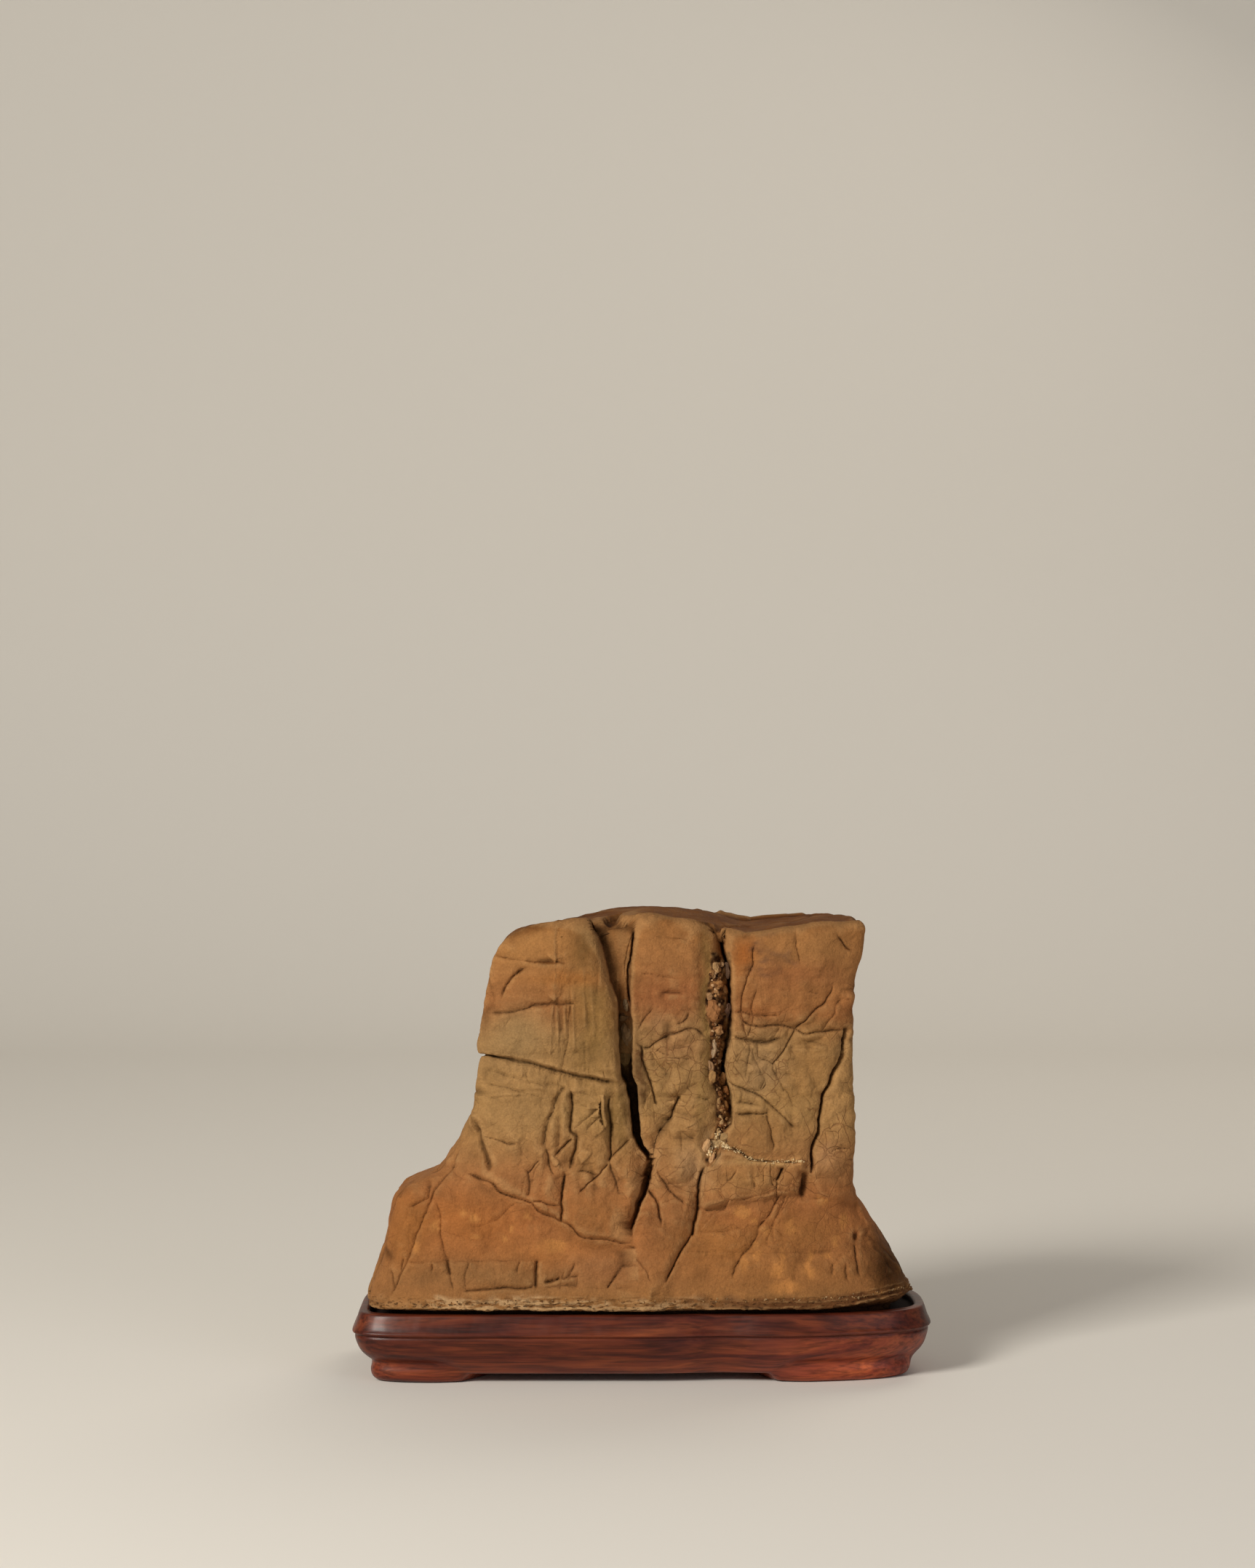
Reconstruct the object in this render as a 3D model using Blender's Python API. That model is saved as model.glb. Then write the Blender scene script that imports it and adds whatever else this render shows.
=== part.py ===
"""A scholar's rock, shaped like a table mountain, on its carved hardwood stand.

Units are metres, +Z is up and -Y is the front. The origin is the centre of the stand's outer box, on the floor.
The stone and the stand are two loose pieces: the stone sits in a shallow seat cut into the stand's top.
Both are a plan outline carried up through levels. Relief is then added to the stone along its surface: blocks
that stand out, grooves along cracks and joints, and a low undulation.
"""

import bmesh
import bpy
import numpy as np

MM = 0.001

# Driving dimensions of the stand, in millimetres
STAND_HALF_WIDTH = 100.0
STAND_HALF_DEPTH = 44.0
RIM_TOP = 24.4
SEAT_FLOOR = 21.5
APRON_BOTTOM = 3.2
REST_GAP = 0.3
SEAT_INSET = 8.2

# Driving dimensions of the stone, in millimetres
CRUST_Z = 27.0
TABLE_TOP = 158.2
WIDEST_Y = -12.0

# Height and the stone's left edge, right edge, front and back there, before relief
LEFT_EDGE = [(26, -96), (30, -95.3), (36, -93), (42, -91), (52, -88.5), (60, -87), (64.5, -85.6), (67.5, -79),
             (70, -72.5), (74, -69), (80, -64.5), (87, -61.5), (92, -58.6), (104, -57.3), (110.5, -55.6),
             (112.5, -55), (115, -57.2), (120, -56), (132, -54.4), (145, -51.5), (151, -50), (159, -47)]
RIGHT_EDGE = [(26, 94), (31, 91), (37, 89), (42, 86.5), (47.5, 83), (53, 80), (59, 76.5), (63, 73.6), (67, 72.6),
              (75, 73), (89, 73), (109, 72.4), (128, 72.3), (139, 73), (145, 75), (152, 76), (159, 76)]
FRONT_EDGE = [(26, -42), (32, -41.3), (44, -38.5), (56, -35), (68, -32.5), (80, -31.5), (110, -31), (150, -30),
              (159, -29.5)]
BACK_EDGE = [(26, 41.5), (34, 40.5), (46, 37), (60, 32), (72, 29.5), (100, 29), (150, 28), (159, 27)]

# How square each corner of the plan is, at the foot and on the table: 2 is an ellipse, 8 nearly square
CORNERS = {"front_left": (7.0, 5.0), "front_right": (3.0, 5.5), "back_right": (2.7, 2.3), "back_left": (3.6, 2.2)}
STAND_CORNERS = {"front_left": (9.0, 9.0), "front_right": (3.0, 3.0), "back_right": (3.0, 3.0),
                 "back_left": (5.0, 5.0)}
CORNER_BLEND = (45.0, 90.0)

# Grid of the stone before it is reduced, and its count of triangles after
QUADRANT_COLUMNS = {"front_left": 120, "front_right": 120, "back_right": 72, "back_left": 72}
WALL_ROWS = 168
STONE_TRIANGLES = 7500

# Blocks that stand out of the front: outline as (x, z), how far out, how far the edge is rounded
LEFT_BLOCK = [(-75, 166), (-22, 166), (-17.5, 156), (-14.2, 145.4), (-11.6, 135), (-9.3, 128.4), (-9.3, 112.8),
              (-7.4, 102.3), (-5.1, 91.9), (-1.9, 81.5), (0.1, 73.6), (-1, 66), (-4.4, 58), (-5.4, 46.9),
              (-20.7, 49.5), (-31.1, 56), (-38.9, 60.6), (-48, 64.5), (-54.5, 69.1), (-55.5, 77), (-57.5, 85),
              (-75, 95)]
UPPER_LEFT_BLOCK = [(-75, 166), (-22, 166), (-17.5, 156), (-14.2, 145.4), (-11.6, 135), (-9.3, 128.4),
                    (-9.3, 112.8), (-8.2, 103.4), (-24, 106), (-40, 110.5), (-54.5, 113.5), (-75, 116)]
MIDDLE_COLUMN = [(-4.4, 166), (20, 166), (19, 144), (19.5, 131), (21.5, 118), (22.9, 105), (24.2, 93.2),
                 (21.6, 85.4), (19.6, 78.9), (18.3, 71), (17.7, 61.9), (16.3, 55.4), (12, 45), (7.5, 34), (2, 30),
                 (-4, 45), (-2.5, 55), (1.5, 64), (2.5, 72), (0.5, 84), (-2, 96), (-4, 109), (-6, 122), (-5.5, 140)]
RIGHT_COLUMN = [(27.3, 166), (82, 166), (82, 62), (60, 62), (56, 74), (40, 76.5), (29, 79), (27, 84), (30, 92),
                (30, 100), (28.5, 112), (29, 131), (28.5, 148)]
CLEFT_LIP = [(19, 80), (31, 79), (42, 76.6), (55, 76), (56.5, 72), (53.4, 65), (46, 64), (31, 62), (20.6, 60),
             (18, 66)]
BACK_LEFT_COLUMN = [(-80, 166), (-24, 166), (-21, 140), (-23, 118), (-18, 92), (-20, 70), (-14, 50), (-40, 58),
                    (-66, 66), (-80, 70)]
BACK_MIDDLE_COLUMN = [(-19, 166), (21, 166), (19, 146), (23, 124), (19, 108), (-6, 104), (-20, 107), (-18, 128)]
BACK_RIGHT_COLUMN = [(28, 166), (90, 166), (90, 72), (70, 70), (52, 64), (24, 57), (29, 82), (25, 100), (30, 124),
                     (26, 146)]
LEFT_SIDE_BLOCK = [(-60, 166), (2, 166), (4, 146), (-6, 122), (0, 98), (-9, 76), (-60, 72)]
RIGHT_SIDE_BLOCK = [(-60, 166), (-20, 166), (-20, 150), (-8, 128), (-11, 104), (2, 80), (-2, 62), (-60, 60)]
BLOCKS = [
    ("front", LEFT_BLOCK, 3.2, 2.2),
    ("front", UPPER_LEFT_BLOCK, 1.4, 0.9),
    ("front", MIDDLE_COLUMN, 1.8, 1.6),
    ("front", RIGHT_COLUMN, 2.2, 1.8),
    ("front", CLEFT_LIP, 2.6, 1.2),
    ("back", BACK_LEFT_COLUMN, 2.6, 2.4),
    ("back", BACK_MIDDLE_COLUMN, 2.0, 1.8),
    ("back", BACK_RIGHT_COLUMN, 2.8, 2.2),
    ("left", LEFT_SIDE_BLOCK, 1.0, 1.4),
    ("right", RIGHT_SIDE_BLOCK, 1.0, 1.4),
]

# Grooves: the chart they are drawn on, then points as (x, z, half width, depth); the top's are (x, y, ...)
GROOVES = {
    "recess_left": ("front", [(-13.5, 166, 6.5, 13), (-11.5, 150, 5.5, 13), (-9, 137, 3.4, 11), (-7.6, 126, 2, 9)]),
    "recess_right": ("front", [(-8, 166, 5, 7), (-7.2, 148, 3.6, 6), (-6.6, 134, 2.2, 5)]),
    "column_joint": ("front", [(-4.9, 154, 0.9, 2), (-6.2, 140, 1.1, 4), (-6, 128, 1.1, 4)]),
    "dark_gap": ("front", [(-7.4, 126, 1.6, 9), (-8, 110, 1.8, 12), (-6.9, 102, 2.2, 15), (-4.5, 92, 2.2, 15),
                           (-2, 84, 1.9, 14), (0, 78, 1.5, 10), (1, 70, 1, 5), (-0.6, 64, 0.8, 3)]),
    "gap_foot": ("front", [(-0.6, 64, 0.8, 3), (-4, 54, 0.8, 2), (-5.2, 46, 0.7, 1.2)]),
    "rubble_cleft": ("front", [(26, 166, 2.2, 9), (25, 148, 2.8, 8), (24, 135, 4, 7), (25.4, 126, 4.4, 7),
                               (25.8, 112, 3.4, 7), (26.4, 100, 3, 8), (26.8, 92, 2.6, 8), (25, 84, 2.2, 5)]),
    "cleft_edge": ("front", [(28, 160, 0.9, 3), (28.2, 140, 0.9, 4), (28.6, 122, 1, 5), (28.2, 110, 0.9, 3)]),
    "cleft_tail": ("front", [(25, 84, 1.5, 4), (20.5, 77, 1.4, 4), (18.6, 68, 1.2, 4), (17.3, 58, 1.1, 4),
                             (13, 47, 0.9, 2.4), (9, 39, 0.8, 1.4), (7, 33, 0.7, 0.8)]),
    "ledge_shadow": ("front", [(-56, 113.2, 1.2, 1.4), (-44, 110.4, 1.3, 1.8), (-30, 106.8, 1.2, 1.6),
                               (-16, 104, 0.9, 1.2), (-9, 102.6, 0.7, 0.8)]),
    "ledge_left_side": ("left", [(-30, 113, 1.2, 1.4), (-5, 110, 1.2, 1.4), (12, 106, 1, 0.8)]),
    "block_foot": ("front", [(-66, 74.5, 1, 1.2), (-54, 69, 1.1, 1.6), (-38, 60.6, 1.1, 1.8), (-26, 54, 1, 1.2),
                             (-20, 49.6, 0.9, 1), (-5.4, 46.6, 0.8, 0.9)]),
    "left_flank": ("front", [(-58.5, 90, 2.2, 2.4), (-58, 82, 2.6, 3.4), (-55.6, 74, 1.8, 2)]),
    "right_joint": ("front", [(68.6, 120, 0.8, 1.2), (67, 110, 1, 2), (63, 103, 1.2, 3.2), (60.6, 95, 1.2, 3.6),
                              (59, 86, 1, 2.6), (57.4, 74, 1, 2.4)]),
    "right_pocket": ("front", [(54.6, 72, 1.6, 3), (55.2, 66.5, 2, 3.6)]),
    "right_seam": ("front", [(29, 119, 0.9, 1.2), (40, 116.6, 1, 1.4), (52, 118, 0.8, 0.8), (68, 121, 0.8, 1)]),
    "drape_long": ("front", [(-33.5, 102, 1.2, 1), (-35.5, 92, 1.6, 1.4), (-37, 82, 1.4, 1.2), (-38, 70, 0.9, 0.8)]),
    "drape_dark": ("front", [(-26.6, 101, 0.9, 0.9), (-24.4, 86, 1.3, 1.6), (-27.2, 78, 1.4, 1.8),
                             (-30.6, 71, 1.3, 1.6), (-32.4, 60, 1, 1.2)]),
    "drape_right": ("front", [(-15.4, 100, 0.9, 0.9), (-13, 88, 1, 1.2), (-17, 76, 1, 1.2), (-23, 66, 0.9, 1)]),
    "column_cross": ("front", [(-4, 115.6, 0.7, 1), (2, 114, 0.8, 1.2), (9, 120, 0.8, 1), (19, 121, 0.7, 0.8)]),
    "column_fold": ("front", [(14, 99, 0.9, 1.2), (8, 98, 0.9, 1.2), (9, 93, 1, 1.4), (4, 86, 1.3, 2.2),
                              (2.4, 77, 1, 1.8)]),
    "foot_panel": ("front", [(-63, 33.4, 0.9, 0.8), (-40, 33, 0.9, 0.9), (-38.6, 41, 0.8, 1)]),
    "top_cleft": ("top", [(26, -36, 2.2, 4), (28, -24, 1.6, 2.6), (33, -14, 1.2, 1.6), (38, -4, 1, 1)]),
    "top_recess": ("top", [(-12, -36, 5, 6), (-10.5, -24, 4, 4.4), (-8, -14, 2.4, 2)]),
    "back_joint_left": ("back", [(-22, 166, 2.6, 5), (-19, 140, 1.8, 3.4), (-21, 118, 1.4, 3), (-16, 92, 1.4, 2.6),
                                 (-18, 70, 1, 1.6), (-12, 50, 0.8, 1)]),
    "back_joint_right": ("back", [(24, 166, 3, 6), (22, 146, 2.4, 5), (26, 124, 1.8, 4), (22, 100, 1.6, 3.4),
                                  (27, 82, 1.2, 2.4), (20, 62, 1, 1.6), (24, 40, 0.8, 1)]),
    "back_ledge": ("back", [(-46, 104, 1, 1), (-24, 108, 1.1, 1.4), (4, 106, 1.2, 1.4), (22, 111, 1, 1),
                            (50, 108, 0.9, 0.8)]),
    "back_foot": ("back", [(-66, 66, 1, 1), (-40, 60, 1.1, 1.4), (-10, 52, 1, 1.2), (20, 56, 1, 1.2),
                           (52, 64, 1, 1.2), (70, 70, 0.9, 0.8)]),
    "right_side_joint": ("right", [(-18, 150, 1.2, 1.6), (-6, 128, 1.3, 2), (-9, 104, 1.2, 2), (4, 80, 1.2, 2),
                                   (0, 58, 1, 1.2)]),
    "left_side_joint": ("left", [(6, 146, 1.1, 1.6), (-4, 122, 1.2, 1.8), (2, 98, 1.2, 1.8), (-6, 76, 1, 1.6)]),
}

# Lumps of rubble that fill the cleft: (x, z, radius, how far they stand off its floor)
RUBBLE = [(24.6, 141, 2.6, 3), (27, 136.6, 1.8, 4), (23.6, 132.6, 2.2, 3.6), (22.8, 127.4, 3.2, 5),
          (26.6, 129, 1.8, 3.6), (26.8, 123, 1.8, 3.4), (24, 119.8, 2.2, 4), (23.8, 114, 2, 4), (26, 110.4, 1.7, 3),
          (23.6, 106.4, 2.2, 4.4), (26.6, 103.2, 1.8, 3.6), (27.4, 98, 1.8, 3.6), (26.6, 93.4, 1.8, 3.4),
          (25.8, 87.6, 2.4, 4), (22, 82.4, 1.9, 3.6), (23.6, 80.2, 1.3, 3)]

# Undulation of the whole surface: size of a lump, how far it swells, and the seed of its noise
UNDULATION = [(27.0, 1.1, 1), (12.0, 0.6, 2), (6.0, 0.3, 3)]

# Thin ledges along the broken crust at the stone's foot: height, half height, how far they stand out
CRUST_LAYERS = [(27.2, 0.9, 0.8), (29.4, 0.8, 0.5)]

# Stand's profile from the seat outwards, down and under: (inset from its widest line, height)
RIM_PROFILE = [(22, 21.5), (8.6, 21.5), (6.1, 22.1), (5.8, 23.9), (4.6, 24.4), (3.0, 24.4), (2.1, 23.6),
               (1.6, 19.3), (0.7, 18.7), (0.0, 17.6), (0.7, 16.7), (1.2, 14.4)]
APRON_PROFILE = RIM_PROFILE + [(2.4, 10.6), (4.4, 7.4), (6.6, 4.8), (7.6, 3.6), (9.4, 3.2), (18, 3.2), (24, 3.2)]
FOOT_PROFILE = RIM_PROFILE + [(3.4, 9.6), (6.8, 6.6), (6.4, 3.4), (7.8, 0.6), (9.4, 0.0), (18, 0.0), (24, 3.2)]
STAND_QUADRANT_COLUMNS = {"front_left": 18, "front_right": 20, "back_right": 16, "back_left": 16}

# Feet: the sign of x and y of their corner, how far they reach along the front or back, and along the end
FEET = [(-1, -1, 64.5, 18), (1, -1, 46.5, 13), (-1, 1, 62, 17), (1, 1, 50, 14)]
FOOT_FADE = 5.0

# Scallops cut into the stand's outline: which side, where along it, half width, depth
SCALLOPS = [("front", 26, 13, 2.0), ("back", -14, 14, 2.0), ("right", 14, 9, 1.0), ("left", 10, 10, 1.2)]


def smooth_step(value):
    """0 below 0, 1 above 1, and an S curve between."""
    t = np.clip(value, 0.0, 1.0)
    return t * t * (3 - 2 * t)


def profile_at(z, table, soften=1.6):
    """The table's second column at height z, with its corners softened over that many millimetres."""
    heights, values = np.array(table, float).T
    offsets = np.linspace(-soften, soften, 5)
    return sum(np.interp(z + d, heights, values) for d in offsets) / len(offsets)


def quadrant_names(theta):
    """The four corners of the plan and where each applies; theta turns from +X through +Y."""
    c, s = np.cos(theta), np.sin(theta)
    return {
        "front_left": (c < 0) & (s < 0),
        "front_right": (c >= 0) & (s < 0),
        "back_right": (c >= 0) & (s >= 0),
        "back_left": (c < 0) & (s >= 0),
    }


def plan_point(theta, left, right, front, back, corners, share):
    """A squared ellipse through the four edges, whose corners blend from the first power to the second by share."""
    c, s = np.cos(theta), np.sin(theta)
    power = np.full(np.shape(theta), 3.0)
    for name, where in quadrant_names(theta).items():
        low, high = corners[name]
        power = np.where(where, low + (high - low) * share, power)
    reach_x = np.sign(c) * np.abs(c) ** (2 / power)
    reach_y = np.sign(s) * np.abs(s) ** (2 / power)
    middle, half = (left + right) / 2, (right - left) / 2
    depth = np.where(s < 0, WIDEST_Y - front, back - WIDEST_Y)
    return middle + half * reach_x, WIDEST_Y + depth * reach_y


def even_angles(counts, outline):
    """Angles whose points are evenly spaced along each quarter of an outline, with the given count in each."""
    starts = {"back_right": 0.0, "back_left": 0.5, "front_left": 1.0, "front_right": 1.5}
    angles = []
    for name, start in starts.items():
        fine = np.linspace(start, start + 0.5, 1200) * np.pi
        x, y = outline(fine)
        length = np.concatenate([[0], np.cumsum(np.hypot(np.diff(x), np.diff(y)))])
        steps = np.linspace(0, length[-1], counts[name] + 1)[:-1]
        angles.append(np.interp(steps, length, fine))
    return np.concatenate(angles)


def stone_plan(theta, z, inset=0.0):
    """The stone's outline at height z, before relief, drawn in by the inset."""
    share = smooth_step((z - CORNER_BLEND[0]) / (CORNER_BLEND[1] - CORNER_BLEND[0]))
    left, right = profile_at(z, LEFT_EDGE) + inset, profile_at(z, RIGHT_EDGE) - inset
    front, back = profile_at(z, FRONT_EDGE) + inset, profile_at(z, BACK_EDGE) - inset
    return plan_point(theta, left, right, front, back, CORNERS, share)


def lattice_noise(points, seed):
    """Smooth noise from -1 to 1: random values on a unit lattice, blended between its corners."""
    cell = np.floor(points)
    share = points - cell
    share = share * share * (3 - 2 * share)
    total = np.zeros(len(points))
    for corner in np.ndindex(2, 2, 2):
        key = (cell + corner) @ np.array([127.1, 311.7, 74.7]) + seed * 19.19
        value = np.sin(key) * 43758.5453
        weight = np.prod(np.where(corner, share, 1 - share), axis=1)
        total += weight * (value - np.floor(value))
    return total * 2 - 1


def outline_distance(a, b, outline):
    """Distance from each point to a closed outline, positive inside."""
    nearest = np.full(a.shape, np.inf)
    inside = np.zeros(a.shape, bool)
    for (x0, y0), (x1, y1) in zip(outline, outline[1:] + outline[:1]):
        dx, dy = x1 - x0, y1 - y0
        along = np.clip(((a - x0) * dx + (b - y0) * dy) / (dx * dx + dy * dy), 0, 1)
        nearest = np.minimum(nearest, np.hypot(a - x0 - along * dx, b - y0 - along * dy))
        crosses = (y0 > b) != (y1 > b)
        level = np.where(dy == 0, 1e-9, dy)
        inside ^= crosses & (a < x0 + (b - y0) * dx / level)
    return np.where(inside, nearest, -nearest)


def groove_depth(a, b, line):
    """Depth of a groove along a line of (a, b, half width, depth): full on the line and none at its edges."""
    deepest = np.zeros(a.shape)
    for (x0, y0, w0, d0), (x1, y1, w1, d1) in zip(line, line[1:]):
        dx, dy = x1 - x0, y1 - y0
        along = np.clip(((a - x0) * dx + (b - y0) * dy) / (dx * dx + dy * dy), 0, 1)
        away = np.hypot(a - x0 - along * dx, b - y0 - along * dy)
        width = w0 + (w1 - w0) * along
        depth = d0 + (d1 - d0) * along
        deepest = np.maximum(deepest, depth * smooth_step(1.35 * (1 - away / width)))
    return deepest


def chart_relief(chart, a, b):
    """Height of the blocks, grooves and rubble drawn on one side of the stone."""
    height = np.zeros(a.shape)
    for side, outline, push, rounding in BLOCKS:
        if side == chart:
            inside = outline_distance(a, b, outline)
            height += push * smooth_step(inside / (2 * rounding) + 0.5)
    grooves = [line for side, line in GROOVES.values() if side == chart]
    if grooves:
        height -= np.max([groove_depth(a, b, line) for line in grooves], axis=0)
    if chart == "front":
        for x, z, radius, lift in RUBBLE:
            away = np.hypot(a - x, b - z) / radius
            height += lift * np.sqrt(np.clip(1 - away**2, 0, 1))
    return height


def crust_relief(points):
    """Broken layers along the stone's foot: thin ledges with pits between them."""
    height = np.zeros(len(points))
    ragged = lattice_noise(points / 4.5, 5)
    for level, half, stand_out in CRUST_LAYERS:
        near = np.clip(1 - np.abs(points[:, 2] - level - 0.5 * ragged) / half, 0, 1)
        height += stand_out * near * (0.7 + 0.6 * ragged)
    return height


def stone_levels():
    """Rows from the middle of the underside to the middle of the table: (height, share of the plan, inset)."""
    under = [(SEAT_FLOOR + REST_GAP, share, SEAT_INSET) for share in (0.0, 0.3, 0.6, 0.88, 1.0)]
    rise = [(24.8, 1.0, SEAT_INSET - 0.6), (25.6, 1.0, 5.0), (26.1, 1.0, 1.0)]
    wall_z = np.linspace(CRUST_Z - 0.4, TABLE_TOP - 4.0, WALL_ROWS)
    wall = [(z, 1.0, 0.0) for z in wall_z]
    turn = np.linspace(0, np.pi / 2, 8)[1:]
    edge = [(TABLE_TOP - 4.0 + 4.0 * np.sin(t), 1.0, 4.0 * (1 - np.cos(t))) for t in turn]
    table = [(TABLE_TOP + 0.6 * (1 - share), share, 4.0) for share in np.linspace(0.97, 0.0, 26)]
    return under + rise + wall + edge + table


def stone_surface():
    """Points of the stone as rows of a closed grid, in millimetres, with relief added along the surface."""
    theta = even_angles(QUADRANT_COLUMNS, lambda angle: stone_plan(angle, np.full(angle.shape, 80.0)))
    levels = stone_levels()
    z = np.repeat(np.array([level[0] for level in levels])[:, None], len(theta), axis=1)
    share = np.array([level[1] for level in levels])[:, None]
    inset = np.array([level[2] for level in levels])[:, None]
    x, y = stone_plan(np.broadcast_to(theta, z.shape), z, inset)
    middle = (profile_at(z, LEFT_EDGE) + profile_at(z, RIGHT_EDGE)) / 2
    grid = np.stack([middle + (x - middle) * share, y * share, z], axis=2)

    normal = grid_normals(grid)
    points = grid.reshape(-1, 3)
    facing = normal.reshape(-1, 3)
    height = surface_relief(points, facing)
    above_seat = smooth_step((points[:, 2] - 25.4) / 1.6)
    moved = points + facing * (height * above_seat)[:, None]
    moved[:, 2] = np.where(points[:, 2] < 25.4, points[:, 2], np.maximum(moved[:, 2], 25.2))
    return moved.reshape(grid.shape)


def grid_normals(grid):
    """Outward directions of a grid that closes on itself along its columns."""
    along = np.roll(grid, -1, axis=1) - np.roll(grid, 1, axis=1)
    up = np.gradient(grid, axis=0)
    normal = np.cross(along, up)
    length = np.linalg.norm(normal, axis=2, keepdims=True)
    normal = normal / np.maximum(length, 1e-9)
    normal[0] = (0, 0, -1)
    normal[-1] = (0, 0, 1)
    return normal


def surface_relief(points, facing):
    """Relief from each side's chart, weighted by how far the surface faces that side, with undulation and crust."""
    x, y, z = points.T
    charts = {
        "front": (x, z, -facing[:, 1]),
        "back": (x, z, facing[:, 1]),
        "left": (y, z, -facing[:, 0]),
        "right": (y, z, facing[:, 0]),
        "top": (x, y, facing[:, 2]),
    }
    height = np.zeros(len(points))
    for chart, (a, b, toward) in charts.items():
        weight = smooth_step((toward - 0.25) / 0.45)
        height += weight * chart_relief(chart, a, b)
    for wavelength, swell, seed in UNDULATION:
        height += swell * lattice_noise(points / wavelength, seed)
    return height + crust_relief(points)


def mesh_from_rows(bm, rows):
    """Rings of vertices joined row by row, with the first and last ring filled."""
    rings = [[bm.verts.new(point * MM) for point in row] for row in rows]
    for low, high in zip(rings, rings[1:]):
        for i in range(len(low)):
            j = (i + 1) % len(low)
            bm.faces.new((low[i], low[j], high[j], high[i]))
    bm.faces.new(rings[0][::-1])
    bm.faces.new(rings[-1])


def add_object(name, bm, material, collection):
    """A named object from a finished bmesh, with one material."""
    bmesh.ops.recalc_face_normals(bm, faces=bm.faces)
    mesh = bpy.data.meshes.new(name)
    bm.to_mesh(mesh)
    bm.free()
    mesh.materials.append(material)
    obj = bpy.data.objects.new(name, mesh)
    collection.objects.link(obj)
    return obj


def make_material(name, colour, roughness):
    """A Principled material with one colour."""
    material = bpy.data.materials.new(name)
    material.use_nodes = True
    shader = material.node_tree.nodes["Principled BSDF"]
    shader.inputs["Base Color"].default_value = (*colour, 1)
    shader.inputs["Roughness"].default_value = roughness
    return material


def build_stone(collection):
    """The stone: a sphere whose rings are moved to the stone's levels, then reduced to flat facets."""
    rows = stone_surface()
    rings, columns = len(rows) - 1, rows.shape[1]
    bm = bmesh.new()
    bmesh.ops.create_uvsphere(bm, u_segments=columns, v_segments=rings, radius=1.0)
    for vertex in bm.verts:
        ring = round((np.arcsin(np.clip(vertex.co.z, -1, 1)) / np.pi + 0.5) * rings)
        column = round(np.arctan2(vertex.co.y, vertex.co.x) / (2 * np.pi) * columns) % columns
        vertex.co = rows[ring, column] * MM
    bmesh.ops.triangulate(bm, faces=bm.faces)
    before = len(bm.faces)
    stone = add_object("stone", bm, make_material("yellow_sandstone", (0.32, 0.155, 0.06), 0.82), collection)
    reduce = stone.modifiers.new("Reduce", "DECIMATE")
    reduce.ratio = STONE_TRIANGLES / before
    reduce.use_collapse_triangulate = True
    return stone


def stand_plan(theta, inset):
    """The stand's outline, inset from its widest line, with shallow scallops."""
    half = STAND_HALF_WIDTH - inset
    depth = STAND_HALF_DEPTH - inset
    x, y = plan_point(theta, -half, half, -depth, depth, STAND_CORNERS, 0.0)
    for side, place, half_width, cut in SCALLOPS:
        along, across = (x, y) if side in ("front", "back") else (y, x)
        sign = -1 if side in ("front", "left") else 1
        facing = smooth_step((sign * across / (depth if along is x else half) - 0.7) / 0.2)
        dip = cut * facing * np.exp(-(((along - place) / half_width) ** 2))
        if along is x:
            y = y - sign * dip
        else:
            x = x - sign * dip
    return x, y


def foot_share(x, y):
    """1 over a foot, 0 along the apron between feet, and an S curve between."""
    share = np.zeros(x.shape)
    for side_x, side_y, reach_x, reach_y in FEET:
        past_x = smooth_step((side_x * x - reach_x) / FOOT_FADE)
        past_y = smooth_step((side_y * y - reach_y) / FOOT_FADE)
        share = np.maximum(share, past_x * past_y)
    return share


def build_stand(collection):
    """The stand: one outline carried down its profile, which dips to the floor at the feet."""
    theta = even_angles(STAND_QUADRANT_COLUMNS, lambda angle: stand_plan(angle, 0.0))
    foot = foot_share(*stand_plan(theta, 0.0))
    rows = []
    for (apron_inset, apron_z), (foot_inset, foot_z) in zip(APRON_PROFILE, FOOT_PROFILE):
        inset = apron_inset + (foot_inset - apron_inset) * foot
        z = apron_z + (foot_z - apron_z) * foot
        x, y = stand_plan(theta, inset)
        rows.append(np.stack([x, y, z], axis=1))
    bm = bmesh.new()
    mesh_from_rows(bm, rows[::-1])
    material = make_material("polished_rosewood", (0.13, 0.028, 0.012), 0.32)
    stand = add_object("stand", bm, material, collection)
    stand.data.shade_smooth()
    stand.data.set_sharp_from_angle(angle=np.radians(40))
    return stand


def main():
    for obj in list(bpy.data.objects):
        bpy.data.objects.remove(obj)
    collection = bpy.data.collections.new("scholars_rock")
    bpy.context.scene.collection.children.link(collection)
    build_stand(collection)
    build_stone(collection)


main()
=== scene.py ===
import math

import bmesh
import bpy
import numpy as np
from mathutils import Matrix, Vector


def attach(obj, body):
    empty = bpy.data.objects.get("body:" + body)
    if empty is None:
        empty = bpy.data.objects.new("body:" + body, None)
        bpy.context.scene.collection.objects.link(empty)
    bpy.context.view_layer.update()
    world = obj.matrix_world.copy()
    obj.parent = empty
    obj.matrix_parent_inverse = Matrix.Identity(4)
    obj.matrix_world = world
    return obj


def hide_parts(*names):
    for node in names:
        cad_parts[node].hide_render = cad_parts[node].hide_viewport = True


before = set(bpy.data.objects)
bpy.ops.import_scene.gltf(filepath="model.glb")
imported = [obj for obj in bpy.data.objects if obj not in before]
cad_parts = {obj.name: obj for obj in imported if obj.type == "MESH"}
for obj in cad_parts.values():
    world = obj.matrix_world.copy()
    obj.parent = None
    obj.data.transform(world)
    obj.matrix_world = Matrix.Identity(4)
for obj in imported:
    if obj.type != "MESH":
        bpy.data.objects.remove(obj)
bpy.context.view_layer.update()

mm = 0.001
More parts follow.
